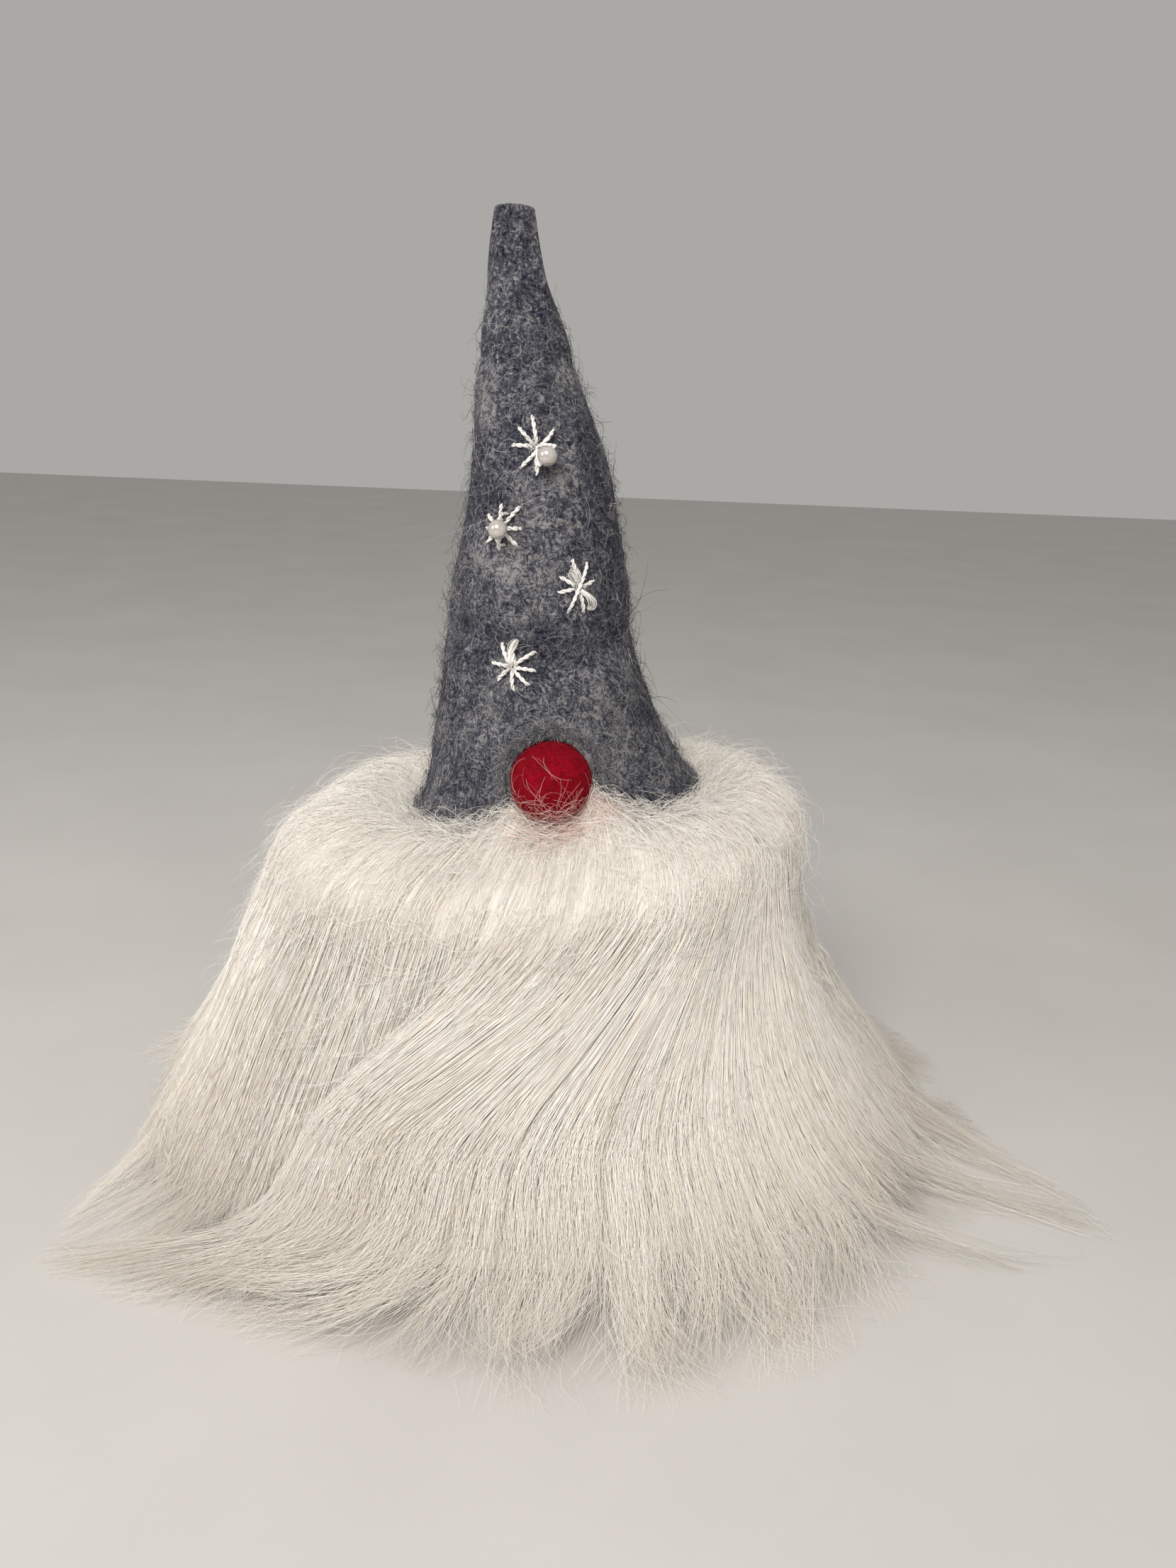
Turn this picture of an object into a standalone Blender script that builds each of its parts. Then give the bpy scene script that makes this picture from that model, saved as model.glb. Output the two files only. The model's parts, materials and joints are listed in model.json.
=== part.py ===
"""Tomte gnome figurine: a weighted cloth body in a long-haired pelt, a felted nose and a pull-off felt hat
with four embroidered stars and two pearl beads. Metres, +Z up, the nose faces -Y, origin under the body."""

import math

import bmesh
import bpy
import numpy as np
from mathutils import Vector

# ---- clearances ----------------------------------------------------------------------------------------------
GAP = 0.0003  # between pieces that touch
HAT_EASE = 0.0020  # between the pelt's top edge and the inside of the hat
PELT_SLACK = 0.0017  # between the cloth sack and the pelt, where the seam's inner runs lie
NOSE_EASE = 0.0005  # between the nose and the felt that arches over it
FUR_EASE = 0.0008  # between the pelt's leather and the solid of its hair
BRIM_REST = 0.0015  # between the brim's edge and the hair under it

# ---- base and body -------------------------------------------------------------------------------------------
BASE_R = 0.0620  # felt disc under the body
BASE_FELT = 0.0020
BOARD_MARGIN = 0.0040  # how far the stiff board stops short of the felt's edge
BOARD = 0.0025
SACK_CLOTH = 0.0010
PELT_HIDE = 0.0015  # the pelt's leather
PELT_FOOT_R = 0.0617  # outside of the pelt at the table
PELT_BULGE = 1.15  # power of the body's taper: 1 is a straight cone
PELT_ABOVE_NOSE = 0.0060  # the pelt's top edge over the nose's middle
WEIGHT_R = 0.0500
WEIGHT_TALL = 0.0260
NECK_R = 0.0070  # the sack where it is tied off
NECK_BORE_R = 0.0030
NECK_RISE = 0.0260  # neck above the pelt's top edge
TUFT_R = 0.0110  # gathered cloth above the tie
TUFT_TALL = 0.0110
TIE_R = 0.0010  # cord of the neck tie

# ---- fur -----------------------------------------------------------------------------------------------------
FUR_REACH = 0.1420  # how far the hair spreads over the table
FUR_SHOULDER_R = 0.0860
FUR_SHOULDER_DROP = 0.0180  # shoulder below the crest
FUR_CREST_R = 0.0680
FUR_CREST_Z = 0.1200  # middle height of the crest around the brim
FUR_CREST_TILT = 0.0060  # crest higher at +X and lower at -X by this much
FUR_LEAN = -0.0085  # sideways shift of the coat at half height
LOCK_REACH = 0.0400  # extra reach of the two long locks on the table
LOCK_ANGLES = (math.radians(-24), math.radians(-146))
LOCK_SHARES = (1.0, 0.55)
LOCK_SPREAD = 0.20  # radians
FUR_FLARE = 1.45  # power of the coat's flare: higher flares nearer the table
FUR_WAVE = 0.0022  # depth of the furrows between the locks
HAIR_EDGE = 0.0009  # thickness of the coat's edge on the table
FUR_CREST_ROUND = 0.0120  # height of the rounding from the brim up to the crest
FUR_FALL_SHARES = (0.80, 0.58, 0.38, 0.22, 0.10)  # stations down the fall, as shares of its height
NOSE_BED = 0.75  # how far below the nose's middle the coat starts there, in nose radii
FUR_AROUND = 48

# ---- nose ----------------------------------------------------------------------------------------------------
NOSE_R = 0.0123
NOSE_X = -0.0024
NOSE_Z = 0.1343
NOSE_THREAD_R = 0.0006
NOSE_KNOT_R = 0.0016

# ---- hat -----------------------------------------------------------------------------------------------------
HAT_FELT = 0.0030
BRIM_Z = 0.1170  # mean height of the brim's edge
HAT_TALL = 0.1830  # brim to tip
HAT_HALF = 0.0420  # half width above the flare
BRIM_FLARE = 0.0070  # how far the brim turns out at the sides
BRIM_FLARE_FRONT = 0.0030
FLARE_RISE = 0.0090
BRIM_TILT = 0.0065  # brim higher at +X
BRIM_WAVE = 0.0015
ARCH_RISE = 0.0160  # brim's lift on both sides of the nose
ARCH_SPREAD = 0.45  # radians
ARCH_BULGE = 0.0075  # how far the nose pushes the felt out
ARCH_BULGE_SPREAD = 0.0125
STUFFING_FROM = 0.38  # shares of the hat's height
STUFFING_TO = 0.72
# (share of height, sideways lean as a share of the half width, width as a share of the half width)
HAT_SECTIONS = (
    (-0.06, 0.00, 1.02),
    (0.055, -0.03, 0.975),
    (0.18, -0.125, 0.832),
    (0.30, -0.188, 0.715),
    (0.393, -0.200, 0.672),
    (0.475, -0.190, 0.600),
    (0.634, -0.260, 0.474),
    (0.77, -0.357, 0.338),
    (0.88, -0.419, 0.219),
    (1.00, -0.460, 0.133),
)
HAT_AROUND = 40
HAT_ROWS = 13

# ---- stars, pearls and threads -------------------------------------------------------------------------------
FLOSS_R = 0.0006  # embroidery thread
STAR_RAY = 0.0084
STAR_RAYS = 8
STAR_HUB_R = 0.0013
STAR_KNOT_R = 0.0011
# (share of the hat's height, sideways share of the hat's half width there, turn of the rays)
STARS = (
    (0.623, 0.00, math.radians(8)),
    (0.489, -0.495, 0.0),
    (0.398, 0.44, math.radians(15)),
    (0.267, -0.27, math.radians(20)),
)
PEARL_R = 0.0030
BEAD_THREAD_R = 0.0004
PEARL_1_DROP = math.radians(-38)  # direction in which the loose pearl lies from its star
PEARL_1_REACH = 0.0049  # from the star's middle to the loose pearl's
PEARL_2_ASIDE = 0.0024  # the held pearl beside its star's hub, towards the hat's middle
LOOP_KNOT_R = 0.0010
SEAM_THREAD_R = 0.0004
HAT_STITCH = 0.0120
PELT_STITCH = 0.0120
PELT_SEAM_FOOT = 0.0120  # lowest stitch over the table
SEAM_HALF = 0.0006  # half the slit between the pelt's edges
STITCH_BITE = 0.0026  # from the slit to the stitch holes

ROUND = 32  # sides of the large turned pieces

# ---- scene and helpers ---------------------------------------------------------------------------------------
for old in list(bpy.data.objects):
    bpy.data.objects.remove(old)

parts = bpy.data.collections.new("tomte_gnome")
cutters = bpy.data.collections.new("cutters")
bpy.context.scene.collection.children.link(parts)
bpy.context.scene.collection.children.link(cutters)
cutters.hide_render = True


def material(name, colour, roughness, metallic=0.0):
    made = bpy.data.materials.new(name)
    made.use_nodes = True
    shader = made.node_tree.nodes["Principled BSDF"]
    shader.inputs["Base Color"].default_value = (*colour, 1.0)
    shader.inputs["Roughness"].default_value = roughness
    shader.inputs["Metallic"].default_value = metallic
    return made


def place(name, mesh, finish=None, at=(0, 0, 0)):
    """A mesh as a part with its own finish, or as a cutter where no finish is given."""
    made = bpy.data.objects.new(name, mesh)
    made.location = at
    if finish:
        parts.objects.link(made)
        mesh.materials.clear()
        mesh.materials.append(material(name, *finish))
    else:
        cutters.objects.link(made)
        made.hide_render = True
        made.display_type = "WIRE"
    mesh.shade_smooth()
    if finish:
        mesh.set_sharp_from_angle(angle=math.radians(40))
    return made


def mesh_from(points, faces, name):
    mesh = bpy.data.meshes.new(name)
    mesh.from_pydata([tuple(p) for p in points], [], faces)
    tidy = bmesh.new()
    tidy.from_mesh(mesh)
    bmesh.ops.recalc_face_normals(tidy, faces=tidy.faces)
    tidy.to_mesh(mesh)
    tidy.free()
    return mesh


def turned(name, profile, finish=None, at=(0, 0, 0), steps=ROUND):
    """A profile of (radius, height) pairs, inside first and then down the outside, turned about Z."""
    mesh = bpy.data.meshes.new(name)
    points = [(r, 0.0, z) for r, z in profile]
    mesh.from_pydata(points, [(i, i + 1) for i in range(len(points) - 1)], [])
    made = place(name, mesh, finish, at)
    screw = made.modifiers.new("turn", "SCREW")
    screw.steps = steps
    screw.render_steps = steps
    screw.use_merge_vertices = True
    screw.merge_threshold = 0.00001
    screw.use_smooth_shade = True
    return made


def arc(centre_r, centre_z, radius_r, radius_z, start, end, count):
    """Points of an elliptic arc in the (radius, height) plane, angles in degrees from outwards to up."""
    angles = np.radians(np.linspace(start, end, count))
    return [(max(0.0, centre_r + radius_r * math.cos(a)), centre_z + radius_z * math.sin(a)) for a in angles]


def ball(name, radius, finish=None, at=(0, 0, 0), rings=16):
    mesh = bpy.data.meshes.new(name)
    shape = bmesh.new()
    bmesh.ops.create_uvsphere(shape, u_segments=2 * rings, v_segments=rings, radius=radius)
    shape.to_mesh(mesh)
    shape.free()
    return place(name, mesh, finish, at)


def tube(name, points, radius, finish=None, closed=False, at=(0, 0, 0)):
    """A thread along points, made a mesh so that it can cut and be joined; at is its origin."""
    curve = bpy.data.curves.new(name, "CURVE")
    curve.dimensions = "3D"
    curve.bevel_depth = radius
    curve.bevel_resolution = 1
    curve.use_fill_caps = not closed
    spline = curve.splines.new("POLY")
    spline.points.add(len(points) - 1)
    origin = Vector(at)
    for slot, point in zip(spline.points, points):
        slot.co = (*(Vector(point) - origin), 1.0)
    spline.use_cyclic_u = closed
    rope = bpy.data.objects.new(name + "_path", curve)
    bpy.context.scene.collection.objects.link(rope)
    bpy.context.view_layer.update()
    mesh = bpy.data.meshes.new_from_object(rope.evaluated_get(bpy.context.evaluated_depsgraph_get()))
    mesh.name = name
    bpy.data.objects.remove(rope)
    tidy = bmesh.new()
    tidy.from_mesh(mesh)
    bmesh.ops.remove_doubles(tidy, verts=tidy.verts, dist=0.000001)
    bmesh.ops.recalc_face_normals(tidy, faces=tidy.faces)
    tidy.to_mesh(mesh)
    tidy.free()
    return place(name, mesh, finish, at)


def boolean(obj, other, operation):
    step = obj.modifiers.new(operation.lower(), "BOOLEAN")
    step.operation = operation
    step.solver = "EXACT"
    step.object = other
    return obj


def cut(obj, *others):
    for other in others:
        boolean(obj, other, "DIFFERENCE")
    return obj


def join(obj, *others):
    for other in others:
        boolean(obj, other, "UNION")
    return obj


def smooth_through(stations, at):
    """Cubic curve through (position, value) stations with the slope of each station's neighbours."""
    xs = np.array([s[0] for s in stations])
    ys = np.array([s[1] for s in stations])
    slopes = np.gradient(ys, xs)
    at = np.clip(np.asarray(at, float), xs[0], xs[-1])
    i = np.clip(np.searchsorted(xs, at, side="right") - 1, 0, len(xs) - 2)
    span = xs[i + 1] - xs[i]
    u = (at - xs[i]) / span
    rise = (1 + 2 * u) * (1 - u) ** 2 * ys[i] + u * u * (3 - 2 * u) * ys[i + 1]
    return rise + span * (u * (1 - u) ** 2 * slopes[i] - u * u * (1 - u) * slopes[i + 1])


# ---- finishes: colour, roughness -----------------------------------------------------------------------------
WHITE_WOOL = ((0.83, 0.80, 0.74), 0.75)
HAT_WOOL = ((0.115, 0.125, 0.150), 0.95)
RED_WOOL = ((0.36, 0.006, 0.014), 0.90)
FLOSS = ((0.82, 0.80, 0.78), 0.60)
PEARL = ((0.86, 0.83, 0.79), 0.18)
BASE_WOOL = ((0.72, 0.69, 0.64), 0.95)
GREYBOARD = ((0.36, 0.33, 0.29), 0.85)
COTTON = ((0.70, 0.66, 0.58), 0.90)
WADDING = ((0.86, 0.86, 0.84), 0.95)
HIDE = ((0.62, 0.50, 0.36), 0.70)
TWINE = ((0.48, 0.36, 0.22), 0.85)

# ---- the hat's surface ---------------------------------------------------------------------------------------


def hat_lean(share):
    return HAT_HALF * smooth_through([(s[0], s[1]) for s in HAT_SECTIONS], share)


def hat_width(share):
    return HAT_HALF * smooth_through([(s[0], s[2]) for s in HAT_SECTIONS], share)


def hat_share(z):
    return (z - BRIM_Z) / HAT_TALL


def brim_edge(angle):
    """Height of the brim's edge: tilted, a little wavy, and lifted on both sides of the nose."""
    from_front = np.angle(np.exp(1j * (angle + math.pi / 2)))
    lift = ARCH_RISE * np.exp(-((from_front / ARCH_SPREAD) ** 2))
    return BRIM_Z + BRIM_TILT * np.cos(angle) - BRIM_WAVE * np.cos(2 * angle) + lift


PELT_TOP_Z = NOSE_Z + PELT_ABOVE_NOSE
PELT_TOP_SHARE = hat_share(PELT_TOP_Z)
PELT_TOP_R = float(hat_width(PELT_TOP_SHARE) + hat_lean(PELT_TOP_SHARE)) - HAT_FELT - HAT_EASE


def pelt_r(z):
    """Outside radius of the pelt's leather."""
    return PELT_FOOT_R + (PELT_TOP_R - PELT_FOOT_R) * (z / PELT_TOP_Z) ** PELT_BULGE


PELT_SLOPE = (pelt_r(NOSE_Z - NOSE_R) - pelt_r(NOSE_Z)) / NOSE_R
NOSE_Y = -(pelt_r(NOSE_Z) + (NOSE_R + GAP) * math.hypot(1, PELT_SLOPE))


def hat_point(angle, z, inside=0.0):
    """Point of the felt at an angle about the hat's axis and a height, inside metres below its outer face."""
    share = hat_share(z)
    flare = np.exp(-np.maximum(z - brim_edge(angle), 0.0) / FLARE_RISE)
    wide = hat_width(share) + BRIM_FLARE * flare - inside
    deep = hat_width(share) + BRIM_FLARE_FRONT * flare - inside
    x = hat_lean(share) + wide * np.cos(angle)
    y = deep * np.sin(angle)
    off = ((x - NOSE_X) ** 2 + (z - NOSE_Z - 0.25 * NOSE_R) ** 2) / ARCH_BULGE_SPREAD**2
    front = np.where(np.sin(angle) < 0, 1.0, 0.0)
    return np.stack([x, y - front * ARCH_BULGE * np.exp(-off), z + 0 * x], axis=-1)


def hat_spot(share, sideways):
    """A place on the hat's front with its frame: point, right, up and outward normal."""
    z = BRIM_Z + HAT_TALL * share
    angle = -math.acos(sideways)
    step = 1e-4
    point = hat_point(angle, z)
    right = Vector(hat_point(angle + step, z) - hat_point(angle - step, z)).normalized()
    rise = Vector(hat_point(angle, z + step) - hat_point(angle, z - step)).normalized()
    normal = right.cross(rise).normalized()
    return angle, z, Vector(point), right, normal.cross(right), normal


def on_felt(spot, u, v, lift):
    """A point u to the right and v up along the felt from a spot, lift above its outer face."""
    angle, z, _, _, _, _ = spot
    z = z + v
    around = float(hat_width(hat_share(z)))
    angle = angle + u / around
    step = 1e-4
    right = Vector(hat_point(angle + step, z) - hat_point(angle - step, z))
    rise = Vector(hat_point(angle, z + step) - hat_point(angle, z - step))
    return Vector(hat_point(angle, z)) + lift * right.cross(rise).normalized()


def in_frame(spot, u, v, n):
    """A point in the flat frame of a spot."""
    _, _, point, right, up, normal = spot
    return point + u * right + v * up + n * normal


def ring_faces(rows, around):
    """Quads of a grid of closed rings."""
    faces = []
    for i in range(rows - 1):
        low, high = i * around, (i + 1) * around
        for j in range(around):
            k = (j + 1) % around
            faces.append((low + j, low + k, high + k, high + j))
    return faces


# ---- base and body -------------------------------------------------------------------------------------------
SACK_FOOT_Z = BASE_FELT + GAP + BOARD + GAP


def sack_r(z):
    return pelt_r(z) - PELT_HIDE - PELT_SLACK


def disc(name, radius, bottom, top, finish):
    return turned(name, [(0, top), (radius, top), (radius, bottom), (0, bottom)], finish)


disc("base_felt", BASE_R, 0.0, BASE_FELT, BASE_WOOL)
BOARD_Z = BASE_FELT + GAP
disc("base_board", BASE_R - BOARD_MARGIN, BOARD_Z, BOARD_Z + BOARD, GREYBOARD)

NECK_Z = PELT_TOP_Z + NECK_RISE
BODY_HEIGHTS = np.linspace(PELT_TOP_Z, SACK_FOOT_Z + 0.006, 6)


def head_dome(top_r, bottom_r, bottom_z, tall, count):
    """The rounded head, from the neck out and down to the body's side."""
    return arc(top_r, bottom_z, bottom_r - top_r, tall, 84, 8, count)


def sack_profile():
    inner_floor = SACK_FOOT_Z + SACK_CLOTH
    outer_side = [(sack_r(z), z) for z in BODY_HEIGHTS]
    inner_side = [(r - SACK_CLOTH, z) for r, z in outer_side]
    dome_tall = NECK_RISE - 3.5 * TIE_R
    inner_tall = dome_tall - 2 * SACK_CLOTH
    head_r = sack_r(PELT_TOP_Z)
    outer_dome = head_dome(NECK_R, head_r, PELT_TOP_Z, dome_tall, 4)
    inner_dome = head_dome(NECK_BORE_R, head_r - SACK_CLOTH, PELT_TOP_Z, inner_tall, 4)
    tuft_top = NECK_Z + TUFT_TALL
    inner = [(0, inner_floor), (sack_r(SACK_FOOT_Z) - 0.006, inner_floor), *inner_side[::-1], *inner_dome[::-1]]
    inner += [(NECK_BORE_R, NECK_Z), (NECK_BORE_R, NECK_Z + 0.4 * TUFT_TALL)]
    inner += [(TUFT_R - 2.5 * SACK_CLOTH, tuft_top)]
    outer = [(TUFT_R, tuft_top), (NECK_R + 1.6 * TIE_R, NECK_Z + 3 * TIE_R), (NECK_R, NECK_Z + 1.1 * TIE_R)]
    outer += [(NECK_R, NECK_Z - 1.1 * TIE_R), *outer_dome, *outer_side]
    outer += [(sack_r(SACK_FOOT_Z) - 0.004, SACK_FOOT_Z), (0, SACK_FOOT_Z)]
    return inner + outer


sack = turned("body_sack", sack_profile(), COTTON)

WEIGHT_Z = SACK_FOOT_Z + SACK_CLOTH + GAP
turned(
    "weight_bag",
    [
        (0, WEIGHT_Z + WEIGHT_TALL),
        (0.6 * WEIGHT_R, WEIGHT_Z + WEIGHT_TALL),
        *arc(0.72 * WEIGHT_R, WEIGHT_Z + WEIGHT_TALL / 2, 0.28 * WEIGHT_R, 0.46 * WEIGHT_TALL, 70, -70, 6),
        (0.6 * WEIGHT_R, WEIGHT_Z),
        (0, WEIGHT_Z),
    ],
    COTTON,
)


def body_wadding_profile():
    foot = WEIGHT_Z + WEIGHT_TALL + GAP
    heights = [z for z in BODY_HEIGHTS if z > foot + 0.006]
    side = [(sack_r(z) - SACK_CLOTH - GAP, z) for z in heights]
    tall = NECK_RISE - 3.5 * TIE_R - 2 * SACK_CLOTH - 0.002
    dome = arc(0, PELT_TOP_Z, side[0][0], tall, 90, 10, 6)
    return [*dome, *side, (side[-1][0] - 0.002, foot), (0, foot)]


body_wadding = turned("body_stuffing", body_wadding_profile(), WADDING)
tie_r = NECK_R + GAP + TIE_R
tie_turns = np.linspace(0, math.tau, 24, endpoint=False)
tie_points = [(tie_r * math.cos(a), tie_r * math.sin(a), NECK_Z) for a in tie_turns]
tube("neck_tie", tie_points, TIE_R, TWINE, closed=True)

# ---- pelt ----------------------------------------------------------------------------------------------------
PELT_HEIGHTS = np.linspace(PELT_TOP_Z, BASE_FELT + GAP, 7)
outside = [(pelt_r(z), z) for z in PELT_HEIGHTS]
inside = [(r - PELT_HIDE, z) for r, z in outside]
leather = turned("pelt_backing", [*inside[::-1], *outside, inside[-1]], HIDE)

slit_mesh = bpy.data.meshes.new("pelt_slit")
slit_shape = bmesh.new()
bmesh.ops.create_cube(slit_shape, size=1.0)
bmesh.ops.scale(slit_shape, vec=(2 * SEAM_HALF, PELT_FOOT_R, 1.3 * PELT_TOP_Z), verts=slit_shape.verts)
slit_shape.to_mesh(slit_mesh)
slit_shape.free()
slit = place("pelt_slit", slit_mesh, at=(0, PELT_TOP_R / 2 + PELT_FOOT_R / 2, PELT_TOP_Z / 2))


def whip_stitches():
    """Over the slit outside, in through one edge, back underneath one stitch higher, and out again."""
    over = GAP + SEAM_THREAD_R
    under = -PELT_HIDE - over
    points = []
    z = PELT_SEAM_FOOT
    while z < PELT_TOP_Z - PELT_STITCH:
        for side, rise, out in ((-1, 0, over), (1, 0, over), (1, 0, under), (-1, PELT_STITCH, under)):
            height = z + rise
            points.append((side * STITCH_BITE, pelt_r(height) + out, height))
        z += PELT_STITCH
    return points


pelt_stitches = whip_stitches()
tube("pelt_seam_thread", pelt_stitches, SEAM_THREAD_R, FLOSS)
pelt_stitch_room = tube("pelt_stitch_room", pelt_stitches, SEAM_THREAD_R + GAP)
cut(leather, slit, pelt_stitch_room)


# ---- fur -----------------------------------------------------------------------------------------------------
def fur_section(angle):
    """(radius, height) of the coat at an angle: up from the inner foot, over the crest, down to the table."""
    crest_z = FUR_CREST_Z + FUR_CREST_TILT * math.cos(angle)
    under_brim = min(float(brim_edge(angle)), NOSE_Z - NOSE_BED * NOSE_R) - BRIM_REST
    flare = math.hypot(BRIM_FLARE * math.cos(angle), BRIM_FLARE_FRONT * math.sin(angle))
    brim_r = HAT_HALF + flare + HAT_EASE
    reach = FUR_REACH
    for lock_angle, share in zip(LOCK_ANGLES, LOCK_SHARES):
        away = math.remainder(angle - lock_angle, math.tau) / LOCK_SPREAD
        reach += share * LOCK_REACH * math.exp(-away * away)
    foot_r = BASE_R + FUR_EASE
    inner = [(foot_r, 0.0), (foot_r, BASE_FELT + GAP)]
    inner += [(pelt_r(z) + FUR_EASE, z) for z in np.linspace(BASE_FELT + 4 * GAP, under_brim, 5)]
    crest = [(brim_r, under_brim)]
    rounding = FUR_CREST_ROUND
    crest += arc(FUR_CREST_R, crest_z - rounding, FUR_CREST_R - brim_r, rounding, 150, 90, 3)
    shoulder = FUR_SHOULDER_R - FUR_CREST_R
    fall = crest_z - FUR_SHOULDER_DROP
    outer = arc(FUR_CREST_R, fall, shoulder, FUR_SHOULDER_DROP, 62, 0, 3)
    for share in FUR_FALL_SHARES:
        spread = (FUR_REACH - FUR_SHOULDER_R) * (1 - share) ** FUR_FLARE
        outer.append((FUR_SHOULDER_R + spread, fall * share))
    outer += [((reach + FUR_REACH) / 2, 3 * HAIR_EDGE), (reach, HAIR_EDGE), (reach, 0.0)]
    return inner, crest, outer


def fur_mesh():
    rings = []
    for k in range(FUR_AROUND):
        angle = math.tau * k / FUR_AROUND
        inner, crest, outer = fur_section(angle)
        section = []
        for r, z in inner + crest:
            section.append((r * math.cos(angle), r * math.sin(angle), z))
        for r, z in outer:
            rise = min(1.0, z / FUR_CREST_Z)
            middle = math.sin(math.pi * rise)
            lock = FUR_WAVE * middle * (math.sin(11 * angle + 4 * rise) + 0.6 * math.sin(19 * angle + 1))
            lean = FUR_LEAN * max(0.0, middle) ** 0.7
            section.append(((r + lock) * math.cos(angle) + lean, (r + lock) * math.sin(angle), z))
        rings.append(section)
    count = len(rings[0])
    points = [p for ring in rings for p in ring]
    faces = []
    for k in range(FUR_AROUND):
        n = (k + 1) % FUR_AROUND
        for i in range(count):
            j = (i + 1) % count
            faces.append((k * count + i, k * count + j, n * count + j, n * count + i))
    return mesh_from(points, faces, "fur_coat")


fur = place("fur_coat", fur_mesh(), WHITE_WOOL)
cut(fur, pelt_stitch_room)

# ---- nose ----------------------------------------------------------------------------------------------------
NOSE = Vector((NOSE_X, NOSE_Y, NOSE_Z))
nose = ball("nose_ball", NOSE_R, RED_WOOL, at=NOSE, rings=14)
nose_knot_y = -(sack_r(NOSE_Z) - SACK_CLOTH - GAP - NOSE_KNOT_R)
nose_knot = Vector((NOSE_X, nose_knot_y, NOSE_Z))
nose_stitch = tube("nose_thread", [NOSE, (NOSE + nose_knot) / 2, nose_knot], NOSE_THREAD_R, FLOSS)
join(nose_stitch, ball("nose_knot", NOSE_KNOT_R, at=nose_knot, rings=6))
nose_bore = tube("nose_bore", [NOSE - Vector((0, GAP, 0)), nose_knot], NOSE_THREAD_R + GAP)
cut(nose, nose_bore)
cut(leather, nose_bore)
cut(sack, nose_bore)
cut(body_wadding, ball("nose_knot_room", NOSE_KNOT_R + 2 * GAP, at=nose_knot, rings=8))
cut(fur, ball("nose_room", NOSE_R + 2 * GAP, at=NOSE, rings=14))


# ---- hat -----------------------------------------------------------------------------------------------------
def hat_grid(inside, rows, bottom_of, top_z):
    """Rings of the felt's surface from bottom_of(angle) up to top_z, closer together at the bottom."""
    angles = np.arange(HAT_AROUND) * math.tau / HAT_AROUND
    start = bottom_of(angles)
    rings = []
    for share in np.linspace(0, 1, rows) ** 1.25:
        z = start + (top_z - start) * share
        rings.append(hat_point(angles, z, inside))
    return np.concatenate(rings)


def hat_shell_mesh():
    outer = hat_grid(0.0, HAT_ROWS, brim_edge, BRIM_Z + HAT_TALL)
    inner = hat_grid(HAT_FELT, HAT_ROWS, brim_edge, BRIM_Z + HAT_TALL - HAT_FELT)
    count = HAT_ROWS * HAT_AROUND
    faces = ring_faces(HAT_ROWS, HAT_AROUND)
    faces += [tuple(count + i for i in reversed(face)) for face in ring_faces(HAT_ROWS, HAT_AROUND)]
    around = range(HAT_AROUND)
    last = (HAT_ROWS - 1) * HAT_AROUND
    faces += [(count + i, count + (i + 1) % HAT_AROUND, (i + 1) % HAT_AROUND, i) for i in around]
    faces.append(tuple(last + i for i in around))
    faces.append(tuple(count + last + i for i in reversed(around)))
    return mesh_from([*outer, *inner], faces, "hat_shell")


hat = place("hat_shell", hat_shell_mesh(), HAT_WOOL)
arch_r = NOSE_R + NOSE_EASE
arch_room = turned(
    "arch_room",
    [*arc(0, 0, arch_r, arch_r, 90, 0, 10), (arch_r, -4 * NOSE_R), (0, -4 * NOSE_R)],
    at=NOSE,
)
cut(hat, arch_room)


def hat_wadding_mesh():
    bottom = BRIM_Z + HAT_TALL * STUFFING_FROM
    top = BRIM_Z + HAT_TALL * STUFFING_TO
    angles = np.arange(HAT_AROUND) * math.tau / HAT_AROUND
    rings = []
    for share in np.linspace(0, 1, 8):
        round_off = (1 - (2 * share - 1) ** 8) ** 0.5 if 0 < share < 1 else 0.0
        z = bottom + (top - bottom) * share
        skin = hat_point(angles, np.full(HAT_AROUND, z), HAT_FELT + GAP)
        middle = np.array([float(hat_lean(hat_share(z))), 0.0, z])
        rings.append(middle + (skin - middle) * (0.55 + 0.45 * round_off))
    rows = len(rings)
    last = (rows - 1) * HAT_AROUND
    faces = ring_faces(rows, HAT_AROUND)
    faces.append(tuple(reversed(range(HAT_AROUND))))
    faces.append(tuple(last + i for i in range(HAT_AROUND)))
    return mesh_from(np.concatenate(rings), faces, "hat_stuffing")


hat_wadding = place("hat_stuffing", hat_wadding_mesh(), WADDING)


def running_stitches():
    """Up the hat's back: a run outside, in through the felt, a run inside, and out again."""
    lift = GAP + SEAM_THREAD_R
    points = []
    z = BRIM_Z + HAT_STITCH
    outside_now = True
    while z < BRIM_Z + 0.9 * HAT_TALL:
        depth = -lift if outside_now else HAT_FELT + lift
        for height in (z, z + HAT_STITCH):
            points.append(Vector(hat_point(math.pi / 2, height, depth)))
        z += HAT_STITCH
        outside_now = not outside_now
    return points


hat_stitches = running_stitches()
tube("hat_seam_thread", hat_stitches, SEAM_THREAD_R, FLOSS)
hat_stitch_room = tube("hat_stitch_room", hat_stitches, SEAM_THREAD_R + GAP)
cut(hat, hat_stitch_room)
cut(hat_wadding, hat_stitch_room)


# ---- stars ---------------------------------------------------------------------------------------------------
FLOSS_LIFT = GAP + FLOSS_R
RAY_POINTS = 3
HUB_LIFT = GAP + STAR_HUB_R


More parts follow.
